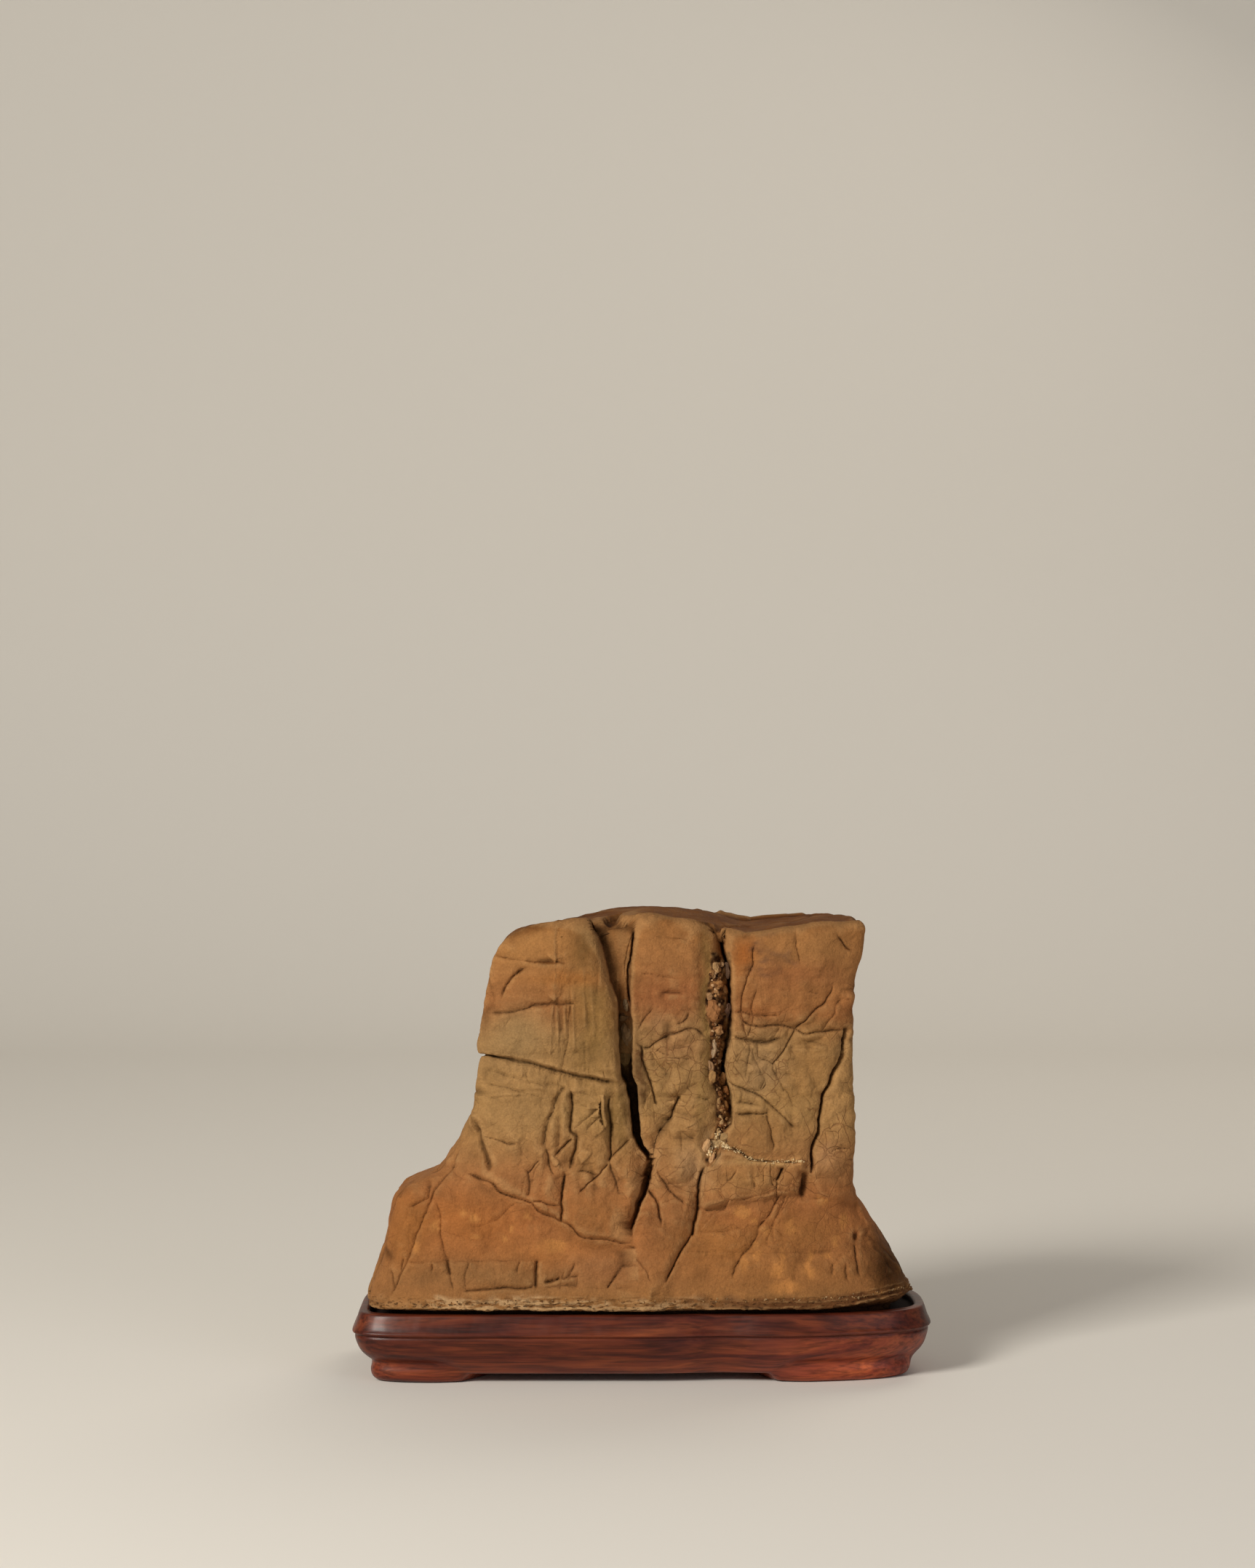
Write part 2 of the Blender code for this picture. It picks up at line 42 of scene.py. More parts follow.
print("frame loaded")

# The camera stands where the photograph's did: places in millimetres, its picture in pixels of 1725 x 2156
cameraView = {
    "place": (-5.4, -1272.0, 255.6),
    "pitch": 2.325,  # degrees down
    "focal": 5000.0,  # pixels
    "centre": (862.5, 1078.0),
    "longSide": 2156.0,
    "sensor": 36.0,
    "pixelsPerMm": 4.0,  # on the stone's front
}


# Pixel of each point: its offset from the camera turned by the pitch, divided by its depth, times the focal
def toPicture(points):
    offset = points - np.array(cameraView["place"])
    tilt = math.radians(cameraView["pitch"])
    depth = offset[:, 1] * math.cos(tilt) - offset[:, 2] * math.sin(tilt)
    rise = offset[:, 1] * math.sin(tilt) + offset[:, 2] * math.cos(tilt)
    right = cameraView["centre"][0] + cameraView["focal"] * offset[:, 0] / depth
    down = cameraView["centre"][1] - cameraView["focal"] * rise / depth
    return right, down


# Linear colour of an sRGB hex code: the standard sRGB curve on each channel, times the gain
def linear(code, gain=1.0):
    srgb = np.array([int(code[i:i + 2], 16) for i in (1, 3, 5)]) / 255
    return np.where(srgb <= 0.04045, srgb / 12.92, ((srgb + 0.055) / 1.055) ** 2.4) * gain


# The hex code as a colour for a socket, with alpha 1
def paint(code):
    return (*linear(code), 1.0)


# A node of a kind, with its settings, and each input either a value or linked from an output
def addNode(tree, kind, inputs=None, **settings):
    node = tree.nodes.new(kind)
    for name, value in settings.items():
        setattr(node, name, value)
    for name, value in (inputs or {}).items():
        if isinstance(value, bpy.types.NodeSocket):
            tree.links.new(value, node.inputs[name])
        else:
            node.inputs[name].default_value = value
    return node


# 0 below 0, 1 above 1, and 3t^2 - 2t^3 between
def smoothStep(value):
    t = np.clip(value, 0.0, 1.0)
    return t * t * (3 - 2 * t)


# Noise from -1 to 1: a random value at each corner of a unit lattice, blended across the cell
def latticeNoise(points, seed):
    cell = np.floor(points)
    share = smoothStep(points - cell)
    step = np.array([127.1, 311.7, 74.7])
    key = cell @ step + seed * 19.19
    total = 0.0
    for corner in np.ndindex(2, 2, 2):
        value = np.sin(key + np.dot(corner, step)) * 43758.5453
        weight = 1.0
        for axis, far in enumerate(corner):
            weight = weight * (share[:, axis] if far else 1 - share[:, axis])
        total = total + weight * (value - np.floor(value))
    return total * 2 - 1


# Irregular cells around the points of a unit grid moved at random: each point's distance
# to the border between its two nearest, and a random level from -1 to 1 for its cell
def cellPattern(a, b, seed):
    first, second, level = np.full(a.shape, 9.0), np.full(a.shape, 9.0), np.zeros(a.shape)
    for i, j in np.ndindex(3, 3):
        gridA, gridB = np.floor(a) + i - 1, np.floor(b) + j - 1
        key = gridA * 127.1 + gridB * 311.7 + seed * 19.19
        moveA, moveB, value = [np.sin(key + more) * 43758.5453 % 1 for more in (0.0, 74.7, 157.3)]
        away = np.hypot(gridA + 0.1 + 0.8 * moveA - a, gridB + 0.1 + 0.8 * moveB - b)
        nearer = away < first
        second = np.where(nearer, first, np.minimum(second, away))
        level = np.where(nearer, value, level)
        first = np.minimum(first, away)
    return (second - first) / 2, level * 2 - 1


# The stone's outline, the same as its solid's: (height, place) in millimetres
stoneForm = {
    "left": [(26, -96), (30, -95.3), (36, -93), (42, -91), (52, -88.5), (60, -87), (64.5, -85.6), (67.5, -79),
             (70, -72.5), (74, -69), (80, -64.5), (87, -61.5), (92, -58.6), (104, -57.3), (110.5, -55.6),
             (112.5, -55), (115, -57.2), (120, -56), (132, -54.2), (141, -52.4), (147, -50.2), (151, -46.5),
             (154, -41), (156, -35.5), (157.6, -28), (158.2, -21), (159, -10)],
    "right": [(26, 94), (31, 91), (37, 89), (42, 86.5), (47.5, 83), (53, 80), (59, 76.5), (63, 73.6),
              (67, 72.6), (75, 73), (89, 73), (109, 72.4), (128, 72.3), (139, 73), (145, 75), (152, 76),
              (159, 76)],
    "front": [(26, -42), (32, -41.3), (44, -38.5), (56, -35), (68, -32.5), (80, -31.5), (110, -31),
              (150, -30), (159, -29.5)],
    "back": [(26, 41.5), (34, 40.5), (46, 37), (60, 32), (72, 29.5), (100, 29), (150, 28), (159, 27)],
    "corners": {"frontLeft": (7.0, 5.0), "frontRight": (3.0, 5.5), "backRight": (2.7, 2.3),
                "backLeft": (3.6, 2.2)},
    "cornerBlend": (45.0, 90.0),
    "widestY": -12.0,
    "seatZ": 21.8,
    "seatInset": 8.2,
    "tableTop": 158.2,
    "crustZ": 27.0,
    "columns": {"frontLeft": 360, "frontRight": 360, "backRight": 160, "backLeft": 160},
    "wallRows": 400,
    "topRows": 34,
    "triangles": 194000,
    "undulation": [(27.0, 1.0, 1), (12.0, 0.5, 2), (6.0, 0.28, 3), (3.0, 0.16, 4), (1.5, 0.08, 5)],
    "topLine": [(690, 1292), (698, 1282), (712, 1275), (730, 1270), (767, 1266), (783, 1261), (807, 1257),
                (828, 1251), (848, 1247), (900, 1245), (974, 1251), (1002, 1254), (1017, 1260), (1030, 1261),
                (1069, 1257), (1120, 1255), (1155, 1257), (1181, 1262)],
    "endLift": 2.6,
}

# Folds of the front: middle, half width and half height in
# pixels, wavelengths across, in and up in mm, height, seed
stoneFolds = {
    "leftFolds": (785, 1575, 75, 105, (4.6, 9, 17), 1.9, 81),
    "leftUpper": (730, 1400, 75, 95, (7, 9, 11), 0.6, 82),
    "striations": (805, 1385, 60, 90, (1.4, 9, 14), 0.45, 83),
    "shelfLines": (730, 1490, 85, 28, (15, 9, 1.5), 0.5, 84),
    "fringe": (760, 1478, 90, 16, (1.5, 9, 6), 0.5, 85),
    "middleFolds": (925, 1540, 50, 160, (6, 9, 8), 1.5, 86),
    "middleUpper": (915, 1330, 50, 90, (9, 9, 12), 0.5, 90),
    "rightFolds": (1080, 1450, 95, 110, (8, 9, 6), 1.3, 87),
    "rightLow": (1110, 1560, 60, 70, (6, 9, 9), 0.8, 91),
    "lipFolds": (1060, 1620, 60, 22, (2.6, 9, 9), 0.6, 88),
    "footFolds": (860, 1710, 380, 80, (15, 9, 10), 0.8, 89),
    "fineFolds": (930, 1480, 310, 200, (5, 9, 3.6), 0.45, 92),
    "finestFolds": (930, 1490, 300, 190, (2.2, 9, 2.8), 0.2, 93),
}

# Blocks that stand out of the faces: side, outline in millimetres, how far out, how far the edge is rounded
stoneBlocks = {
    "leftBlock": ("front", 3.2, 2.6, [
        (-75, 166), (-22, 166), (-17.5, 156), (-14.2, 145.4), (-11.6, 135), (-9.3, 128.4), (-9.3, 112.8),
        (-7.4, 102.3), (-5.1, 91.9), (-1.9, 81.5), (0.1, 73.6), (-1, 66), (-4.4, 58), (-5.4, 46.9),
        (-20.7, 49.5), (-31.1, 56), (-38.9, 60.6), (-48, 64.5), (-54.5, 69.1), (-55.5, 77), (-57.5, 85),
        (-75, 95)]),
    "upperLeftBlock": ("front", 1.7, 0.9, [
        (-75, 166), (-22, 166), (-17.5, 156), (-14.2, 145.4), (-11.6, 135), (-9.3, 128.4), (-9.3, 112.8),
        (-8.2, 103.4), (-24, 106), (-40, 110.5), (-54.5, 113.5), (-75, 116)]),
    "middleColumn": ("front", 2.3, 3.2, [
        (-4.4, 166), (20, 166), (19, 144), (19.5, 131), (21.5, 118), (22.9, 105), (24.2, 93.2), (21.6, 85.4),
        (19.6, 78.9), (18.3, 71), (17.7, 61.9), (16.3, 55.4), (12, 45), (7.5, 34), (2, 30), (-4, 45),
        (-2.5, 55), (1.5, 64), (2.5, 72), (0.5, 84), (-2, 96), (-4, 109), (-6, 122), (-5.5, 140)]),
    "rightColumn": ("front", 2.4, 2.6, [
        (27.3, 166), (82, 166), (82, 62), (60, 62), (56, 74), (40, 76.5), (29, 79), (27, 84), (30, 92),
        (30, 100), (28.5, 112), (29, 131), (28.5, 148)]),
    "cleftLip": ("front", 2.2, 1.4, [
        (19, 80), (31, 79), (42, 76.6), (55, 76), (56.5, 72), (53.4, 65), (46, 64), (31, 62), (20.6, 60),
        (18, 66)]),
    "backLeftColumn": ("back", 2.6, 2.4, [
        (-80, 166), (-24, 166), (-21, 140), (-23, 118), (-18, 92), (-20, 70), (-14, 50), (-40, 58), (-66, 66),
        (-80, 70)]),
    "backMiddleColumn": ("back", 2.0, 1.8, [
        (-19, 166), (21, 166), (19, 146), (23, 124), (19, 108), (-6, 104), (-20, 107), (-18, 128)]),
    "backRightColumn": ("back", 2.8, 2.2, [
        (28, 166), (90, 166), (90, 72), (70, 70), (52, 64), (24, 57), (29, 82), (25, 100), (30, 124),
        (26, 146)]),
    "leftSideBlock": ("left", 1.0, 1.4, [
        (-60, 166), (2, 166), (4, 146), (-6, 122), (0, 98), (-9, 76), (-60, 72)]),
    "rightSideBlock": ("right", 1.0, 1.4, [
        (-60, 166), (-20, 166), (-20, 150), (-8, 128), (-11, 104), (2, 80), (-2, 62), (-60, 60)]),
}

# Broad grooves of the sides, back and top, as on the solid: side, then points of (a, b, half width, depth)
stoneGrooves = {
    "ledgeLeftSide": ("left", [(-30, 113, 1.2, 1.4), (-5, 110, 1.2, 1.4), (12, 106, 1, 0.8)]),
    "topCleft": ("top", [(26, -36, 2.2, 4), (28, -24, 1.6, 2.6), (33, -14, 1.2, 1.6), (38, -4, 1, 1)]),
    "topRecess": ("top", [(-12, -36, 5, 6), (-10.5, -24, 4, 4.4), (-8, -14, 2.4, 2)]),
    "backJointLeft": ("back", [(-22, 166, 2.6, 5), (-19, 140, 1.8, 3.4), (-21, 118, 1.4, 3),
                               (-16, 92, 1.4, 2.6), (-18, 70, 1, 1.6), (-12, 50, 0.8, 1)]),
    "backJointRight": ("back", [(24, 166, 3, 6), (22, 146, 2.4, 5), (26, 124, 1.8, 4), (22, 100, 1.6, 3.4),
                                (27, 82, 1.2, 2.4), (20, 62, 1, 1.6), (24, 40, 0.8, 1)]),
    "backLedge": ("back", [(-46, 104, 1, 1), (-24, 108, 1.1, 1.4), (4, 106, 1.2, 1.4), (22, 111, 1, 1),
                           (50, 108, 0.9, 0.8)]),
    "backFoot": ("back", [(-66, 66, 1, 1), (-40, 60, 1.1, 1.4), (-10, 52, 1, 1.2), (20, 56, 1, 1.2),
                          (52, 64, 1, 1.2), (70, 70, 0.9, 0.8)]),
    "rightSideJoint": ("right", [(-18, 150, 1.2, 1.6), (-6, 128, 1.3, 2), (-9, 104, 1.2, 2), (4, 80, 1.2, 2),
                                 (0, 58, 1, 1.2)]),
    "leftSideJoint": ("left", [(6, 146, 1.1, 1.6), (-4, 122, 1.2, 1.8), (2, 98, 1.2, 1.8), (-6, 76, 1, 1.6)]),
}

# The two open joints of the front, by rows of the photograph: (row, left edge, right edge, depth in mm
# at each), after the power of the share across by which the depth goes from one edge's to the other's
openJoints = {
    "leftGap": (0.6, [
        (1240, 800, 872, 6, 1.0), (1262, 805, 872, 6.5, 1.5), (1275, 813, 871, 7, 1.8),
        (1290, 822, 871, 7, 2), (1305, 828, 870, 6.6, 2.2), (1330, 834, 868, 6, 2.6),
        (1348, 838, 866, 5.6, 3), (1360, 843, 866, 5.6, 4), (1372, 848, 867, 6, 5),
        (1390, 850, 867, 6.4, 6), (1404, 850, 868, 6.4, 6.2), (1430, 850, 869, 6, 6),
        (1450, 851, 868, 6, 6), (1463, 852, 868, 13, 13), (1481, 854, 870, 15, 15),
        (1494, 861, 876, 15, 15), (1515, 866, 877, 15, 15), (1544, 868, 879, 15, 15),
        (1561, 869, 880, 14, 14), (1575, 877, 885, 12, 12), (1592, 889, 896, 8, 8), (1602, 889, 897, 6, 6),
        (1620, 885, 895, 4, 4), (1640, 879, 889, 3, 3), (1660, 872, 880, 2.4, 2.4),
        (1685, 865, 872, 1.6, 1.6), (1708, 863, 868, 0, 0)]),
    "rubbleCleft": (2.4, [
        (1240, 978, 1000, 0.2, 6), (1262, 966, 996, 0.2, 8), (1300, 962, 997, 0.2, 7),
        (1320, 960, 1001, 0.2, 7), (1335, 960, 1005, 0.2, 7), (1385, 959.5, 1006, 0.2, 7),
        (1420, 962, 1004, 0.2, 8), (1445, 963, 999, 0.2, 8), (1475, 963, 998, 0.2, 8),
        (1490, 964, 1000, 0.2, 8), (1510, 966, 1006, 0.2, 8), (1530, 968, 1008, 0.2, 8),
        (1545, 970, 1005, 0.2, 6), (1558, 972, 997, 0.2, 4), (1575, 968, 990, 0.3, 2.5),
        (1590, 966, 985, 0.3, 1.5), (1606, 966, 975, 0, 0)]),
}

# Where broken pieces fill the right-hand cleft: (row, left edge, right edge)
rubbleBand = [
    (1322, 977, 1004), (1350, 974, 1003), (1380, 969, 1000), (1402, 971, 998), (1412, 976, 998),
    (1450, 976, 997), (1470, 973, 996), (1488, 976, 997), (1500, 984, 1002), (1520, 984, 1005),
    (1545, 984, 1003), (1556, 982, 1000), (1570, 971, 1000), (1592, 967, 986), (1604, 970, 978)]

# Cracks and folds of the front: half width and depth in
# mm (below 0 is a ridge), then pixels of the photograph
leftBlockLines = {
    "seamHigh": (0.55, 0.5, [(688, 1316), (716, 1322), (741, 1322), (763, 1322), (780, 1324.5)]),
    "hook": (0.9, 1.2, [(728, 1331), (720, 1332), (711, 1337), (701, 1348), (694, 1362), (690, 1377)]),
    "seamLow": (0.65, 0.9, [(672, 1393), (704, 1392), (718, 1387), (733, 1383), (753, 1381), (786, 1378)]),
    "rib": (0.9, -0.7, [(773, 1268), (766, 1285), (764, 1300), (764, 1325), (762, 1350), (763, 1375),
                        (758, 1400), (757, 1425), (756, 1455)]),
    "ribSide": (0.5, 0.25, [(768, 1288), (767, 1300), (766, 1318)]),
    "ribFoot": (0.7, 0.6, [(783, 1382), (781, 1400), (780, 1421), (776, 1445), (775, 1456), (770, 1470)]),
    "thinFold": (0.4, 0.2, [(785, 1392), (785, 1430), (783, 1468)]),
    "edgeNick": (0.45, 0.6, [(669, 1400), (668, 1415), (664, 1430)]),
    "shortA": (0.45, 0.45, [(703, 1397), (697, 1405), (692, 1412)]),
    "shortB": (0.3, 0.35, [(728, 1429), (741, 1428)]),
    "shortC": (0.4, 0.35, [(740, 1436), (733, 1447), (723, 1457)]),
    "shortD": (0.4, 0.35, [(722, 1403), (719, 1415)]),
    "archLine": (0.3, 0.22, [(764, 1378), (771, 1366), (781, 1356), (793, 1352)]),
    "mainLedge": (1.5, 1.4, [(668, 1441), (674, 1448), (690, 1454), (706, 1459), (729, 1463), (754, 1470),
                             (776, 1476), (801, 1480), (819, 1484), (833, 1488)]),
    "ledgeShade": (3.4, 1.0, [(670, 1447), (690, 1458), (706, 1463), (729, 1467), (754, 1474), (776, 1480),
                              (801, 1484)]),
    "ledgeThread": (0.45, 0.8, [(801, 1479), (820, 1482), (832, 1487), (843, 1492)]),
    "fringeA": (0.3, 0.4, [(709, 1464), (711, 1471), (714, 1479)]),
    "fringeB": (0.35, 0.55, [(718, 1465), (721, 1478), (728, 1489)]),
    "fringeC": (0.3, 0.4, [(727, 1466), (732, 1481)]),
    "fringeD": (0.3, 0.45, [(735, 1467), (738, 1477)]),
    "fringeE": (0.3, 0.45, [(741, 1469), (743, 1479)]),
    "fringeF": (0.3, 0.4, [(749, 1471), (750, 1480)]),
    "fringeG": (0.3, 0.3, [(697, 1462), (699, 1472)]),
    "cornerSlit": (0.4, 0.7, [(829, 1467), (831, 1480), (832, 1489)]),
    "parallelA": (0.4, 0.45, [(665, 1468), (681, 1475), (706, 1481), (733, 1488), (754, 1494), (776, 1499),
                              (819, 1507)]),
    "parallelB": (0.45, 0.5, [(664, 1487), (694, 1494), (715, 1500), (740, 1507), (765, 1512)]),
    "parallelC": (0.4, 0.4, [(658, 1503), (676, 1508), (692, 1511)]),
    "dash": (0.6, 0.5, [(797, 1518), (808, 1520)]),
    "foldA": (0.6, 0.8, [(765.5, 1482), (767, 1492), (765, 1503), (762, 1510)]),
    "foldB": (2.4, 1.5, [(773, 1497), (768, 1507), (764, 1516), (760, 1527), (755, 1540), (751, 1554),
                         (748, 1572)]),
    "foldC": (0.6, 0.9, [(755, 1541), (751, 1556), (750, 1572), (752, 1588), (755, 1602), (760, 1613),
                         (768, 1620)]),
    "foldD": (0.4, 0.5, [(776.6, 1481), (774, 1493), (769.5, 1506)]),
    "foldE": (1.1, 1.6, [(784, 1493), (785.5, 1508), (787, 1525), (785, 1540), (786, 1553), (792, 1561),
                         (799, 1574)]),
    "foldF": (1.4, 1.9, [(792, 1562), (792, 1576), (789, 1588), (785.5, 1599), (782, 1611)]),
    "foldG": (0.8, 1.5, [(774.8, 1607), (777, 1616), (774.8, 1629), (773.6, 1642), (772.5, 1659),
                         (771.8, 1680)]),
    "slantA": (0.5, 0.55, [(786.4, 1557), (772, 1569), (754, 1581)]),
    "slantB": (1.0, 1.4, [(784, 1565), (772, 1577), (758.8, 1593)]),
    "slantC": (0.7, 0.6, [(826.6, 1521), (806, 1537), (789, 1550)]),
    "slantD": (0.5, 0.6, [(826.6, 1534), (811, 1547), (802, 1558)]),
    "slantE": (0.35, 0.4, [(822, 1541), (823, 1555)]),
    "slantF": (0.5, 0.5, [(727, 1640), (731, 1625), (735, 1612), (741, 1600)]),
    "cordLeft": (0.9, 1.0, [(824, 1501), (825.7, 1515), (826.6, 1526), (829, 1540), (834.6, 1557)]),
    "cord": (1.6, -1.4, [(829, 1498), (831, 1512), (832, 1528), (836, 1545)]),
    "cordRight": (0.9, 1.4, [(838, 1512), (837, 1522), (839, 1533), (840, 1548), (839.6, 1566), (840, 1583),
                              (837, 1594)]),
    "thinCord": (0.35, 0.4, [(845, 1498), (842, 1515), (844.5, 1533), (848, 1554), (849, 1566)]),
    "crackI": (0.6, 1.0, [(870, 1562), (858, 1573), (847, 1583), (838, 1593)]),
    "crackJ": (0.6, 1.0, [(834, 1600), (826, 1611), (813, 1624), (801, 1636), (793, 1646)]),
    "crackK": (0.5, 0.8, [(793.6, 1610.5), (806, 1610), (820, 1615)]),
    "crackL": (0.5, 0.8, [(838, 1597), (841, 1610), (845, 1620), (848, 1634), (851.6, 1647)]),
    "crackLFoot": (0.35, 0.35, [(851.6, 1647), (854, 1663), (851, 1686), (842, 1704)]),
    "crackMA": (0.5, 0.9, [(739, 1597), (733, 1606), (727.5, 1613)]),
    "crackMB": (0.5, 0.9, [(724.8, 1611), (727, 1620), (728, 1631), (726, 1644)]),
    "crackMC": (0.35, 0.5, [(722, 1618), (718, 1633), (716.8, 1645)]),
    "crackN": (0.55, 0.9, [(664, 1561), (669, 1564), (681, 1566), (692, 1570), (702, 1572), (717, 1571)]),
    "flankHollow": (2.6, 3.0, [(655, 1538), (658, 1554), (660, 1568), (664, 1586), (669, 1600), (674, 1618)]),
    "shelfA": (0.6, 1.0, [(734, 1654), (744, 1652.5)]),
    "shelfB": (0.5, 0.9, [(744, 1653), (756, 1658), (771, 1659)]),
    "blockFoot": (0.6, 1.1, [(638, 1611), (651, 1618), (665, 1623), (678, 1629), (685, 1638), (699, 1645),
                             (717, 1650), (729, 1655), (742, 1667), (758, 1674), (772, 1680), (786, 1688),
                             (797, 1699), (811, 1704), (840, 1708), (860, 1713), (871, 1716)]),
    "hemLine": (0.4, 0.45, [(842, 1688), (856, 1684), (870, 1682)]),
    "gapFoot": (0.7, 1.8, [(895, 1600), (893, 1611), (891, 1626), (886, 1640), (877, 1659), (872, 1676),
                           (868, 1692), (866.5, 1708)]),
    "pillowA": (3.0, -0.8, [(815, 1580), (806, 1592), (796, 1602)]),
    "pillowB": (3.0, -0.7, [(770, 1596), (764, 1604)]),
    "pillowC": (3.4, -0.6, [(862, 1600), (862, 1625)]),
}
middleColumnLines = {
    "sideCrack": (0.7, 2.4, [(871, 1288), (869, 1305), (867, 1322), (863, 1340), (864, 1362), (867, 1384)]),
    "sideSlab": (0.4, 0.8, [(868, 1292), (863, 1305), (860, 1322), (859, 1342)]),
    "paleLine": (0.35, 0.3, [(895, 1291), (914, 1293), (934, 1293.7), (950, 1296), (965, 1299)]),
    "thinLine": (0.35, 0.4, [(875, 1336), (893, 1339), (914, 1343), (930, 1344.5), (943, 1345.5)]),
    "dimple": (1.0, 0.8, [(907, 1364), (924, 1365), (942, 1368)]),
    "hook": (0.6, 0.9, [(946, 1384), (947, 1394), (943, 1402), (934, 1407.5), (922, 1410)]),
    "slant": (0.45, 0.7, [(900, 1381), (890, 1394), (882, 1407), (873, 1420)]),
    "arch": (0.6, 1.1, [(872, 1431), (881, 1439), (893, 1441.5), (900, 1435), (912, 1428), (923, 1423),
                        (936, 1417.5), (952, 1415), (964, 1421), (974, 1428)]),
    "armA": (0.4, 0.55, [(896, 1442.5), (909, 1447), (923, 1452), (938, 1455), (959, 1454)]),
    "armB": (0.45, 0.6, [(896, 1447), (900, 1456), (908, 1467), (916, 1475), (923, 1487), (929, 1497),
                         (933, 1511)]),
    "innerCrack": (0.8, 1.4, [(882, 1441), (882, 1456), (886, 1469), (891, 1478), (895, 1493), (899, 1506),
                              (901.6, 1516)]),
    "innerFork": (0.4, 0.6, [(895, 1499), (887, 1511), (882, 1526)]),
    "innerLoop": (0.35, 0.45, [(897, 1518), (899, 1532), (899, 1541), (905, 1548)]),
    "shelfLeft": (0.5, 0.9, [(909, 1516), (919, 1512), (933, 1512), (941, 1513.6), (949, 1516)]),
    "shelfRight": (0.5, 0.7, [(953, 1511), (959, 1508), (969, 1510), (981, 1509.5)]),
    "darkSlant": (0.9, 2.0, [(934, 1510), (926, 1524), (922.5, 1536), (914, 1545), (906, 1554), (902, 1566),
                             (899, 1581), (897, 1594)]),
    "darkFork": (0.45, 0.8, [(924, 1514), (923.6, 1525)]),
    "slotA": (0.5, 0.6, [(920, 1549), (921, 1558), (922, 1568)]),
    "slotB": (0.5, 0.55, [(936, 1557), (937, 1570), (937, 1582)]),
    "archLow": (0.6, 0.7, [(940, 1557), (947, 1563), (957, 1567)]),
    "bossHigh": (3.0, -0.7, [(946, 1544), (948, 1547)]),
    "bossLow": (1.2, -0.35, [(951, 1519), (953, 1520)]),
    "dashA": (0.5, 0.5, [(924, 1604), (935, 1605), (947, 1604.5)]),
    "dashB": (0.5, 0.4, [(940, 1578), (948, 1578.5)]),
    "lowerCrack": (0.5, 0.9, [(900, 1603), (907, 1616), (915, 1627.5), (920, 1638), (929, 1646), (937, 1651),
                              (942, 1657), (949, 1658)]),
    "lowerArm": (0.35, 0.5, [(893, 1623), (904, 1622), (915, 1628), (926, 1628.5), (947, 1626.5)]),
    "lowerThread": (0.35, 0.45, [(908, 1655), (920, 1652.5), (931, 1648)]),
    "footNotch": (0.8, 1.4, [(890, 1632), (892, 1637), (899, 1647), (904, 1658), (906, 1670), (909, 1690)]),
    "footShort": (0.35, 0.45, [(937, 1659), (938, 1671)]),
    "footLine": (0.4, 0.3, [(874, 1699), (899, 1696)]),
    "creaseA": (0.35, 0.35, [(954, 1468), (951, 1481), (947, 1500)]),
    "creaseB": (0.3, 0.3, [(965, 1486), (951, 1493), (936, 1498)]),
    "mainTail": (1.2, 3.0, [(972, 1603), (965, 1612), (961, 1630), (959, 1646), (958, 1664), (954, 1680),
                            (951, 1696)]),
    "mainTailFoot": (0.7, 1.6, [(951, 1696), (946, 1704), (940, 1716), (930, 1732), (922, 1748),
                                (915, 1766)]),
    "cleftBlack": (0.9, 4.5, [(991, 1275), (993, 1290), (995, 1310), (1000, 1326), (1003, 1345), (1003, 1372),
                              (1005, 1395), (1004, 1426), (998, 1450), (996, 1475), (997, 1495)]),
}
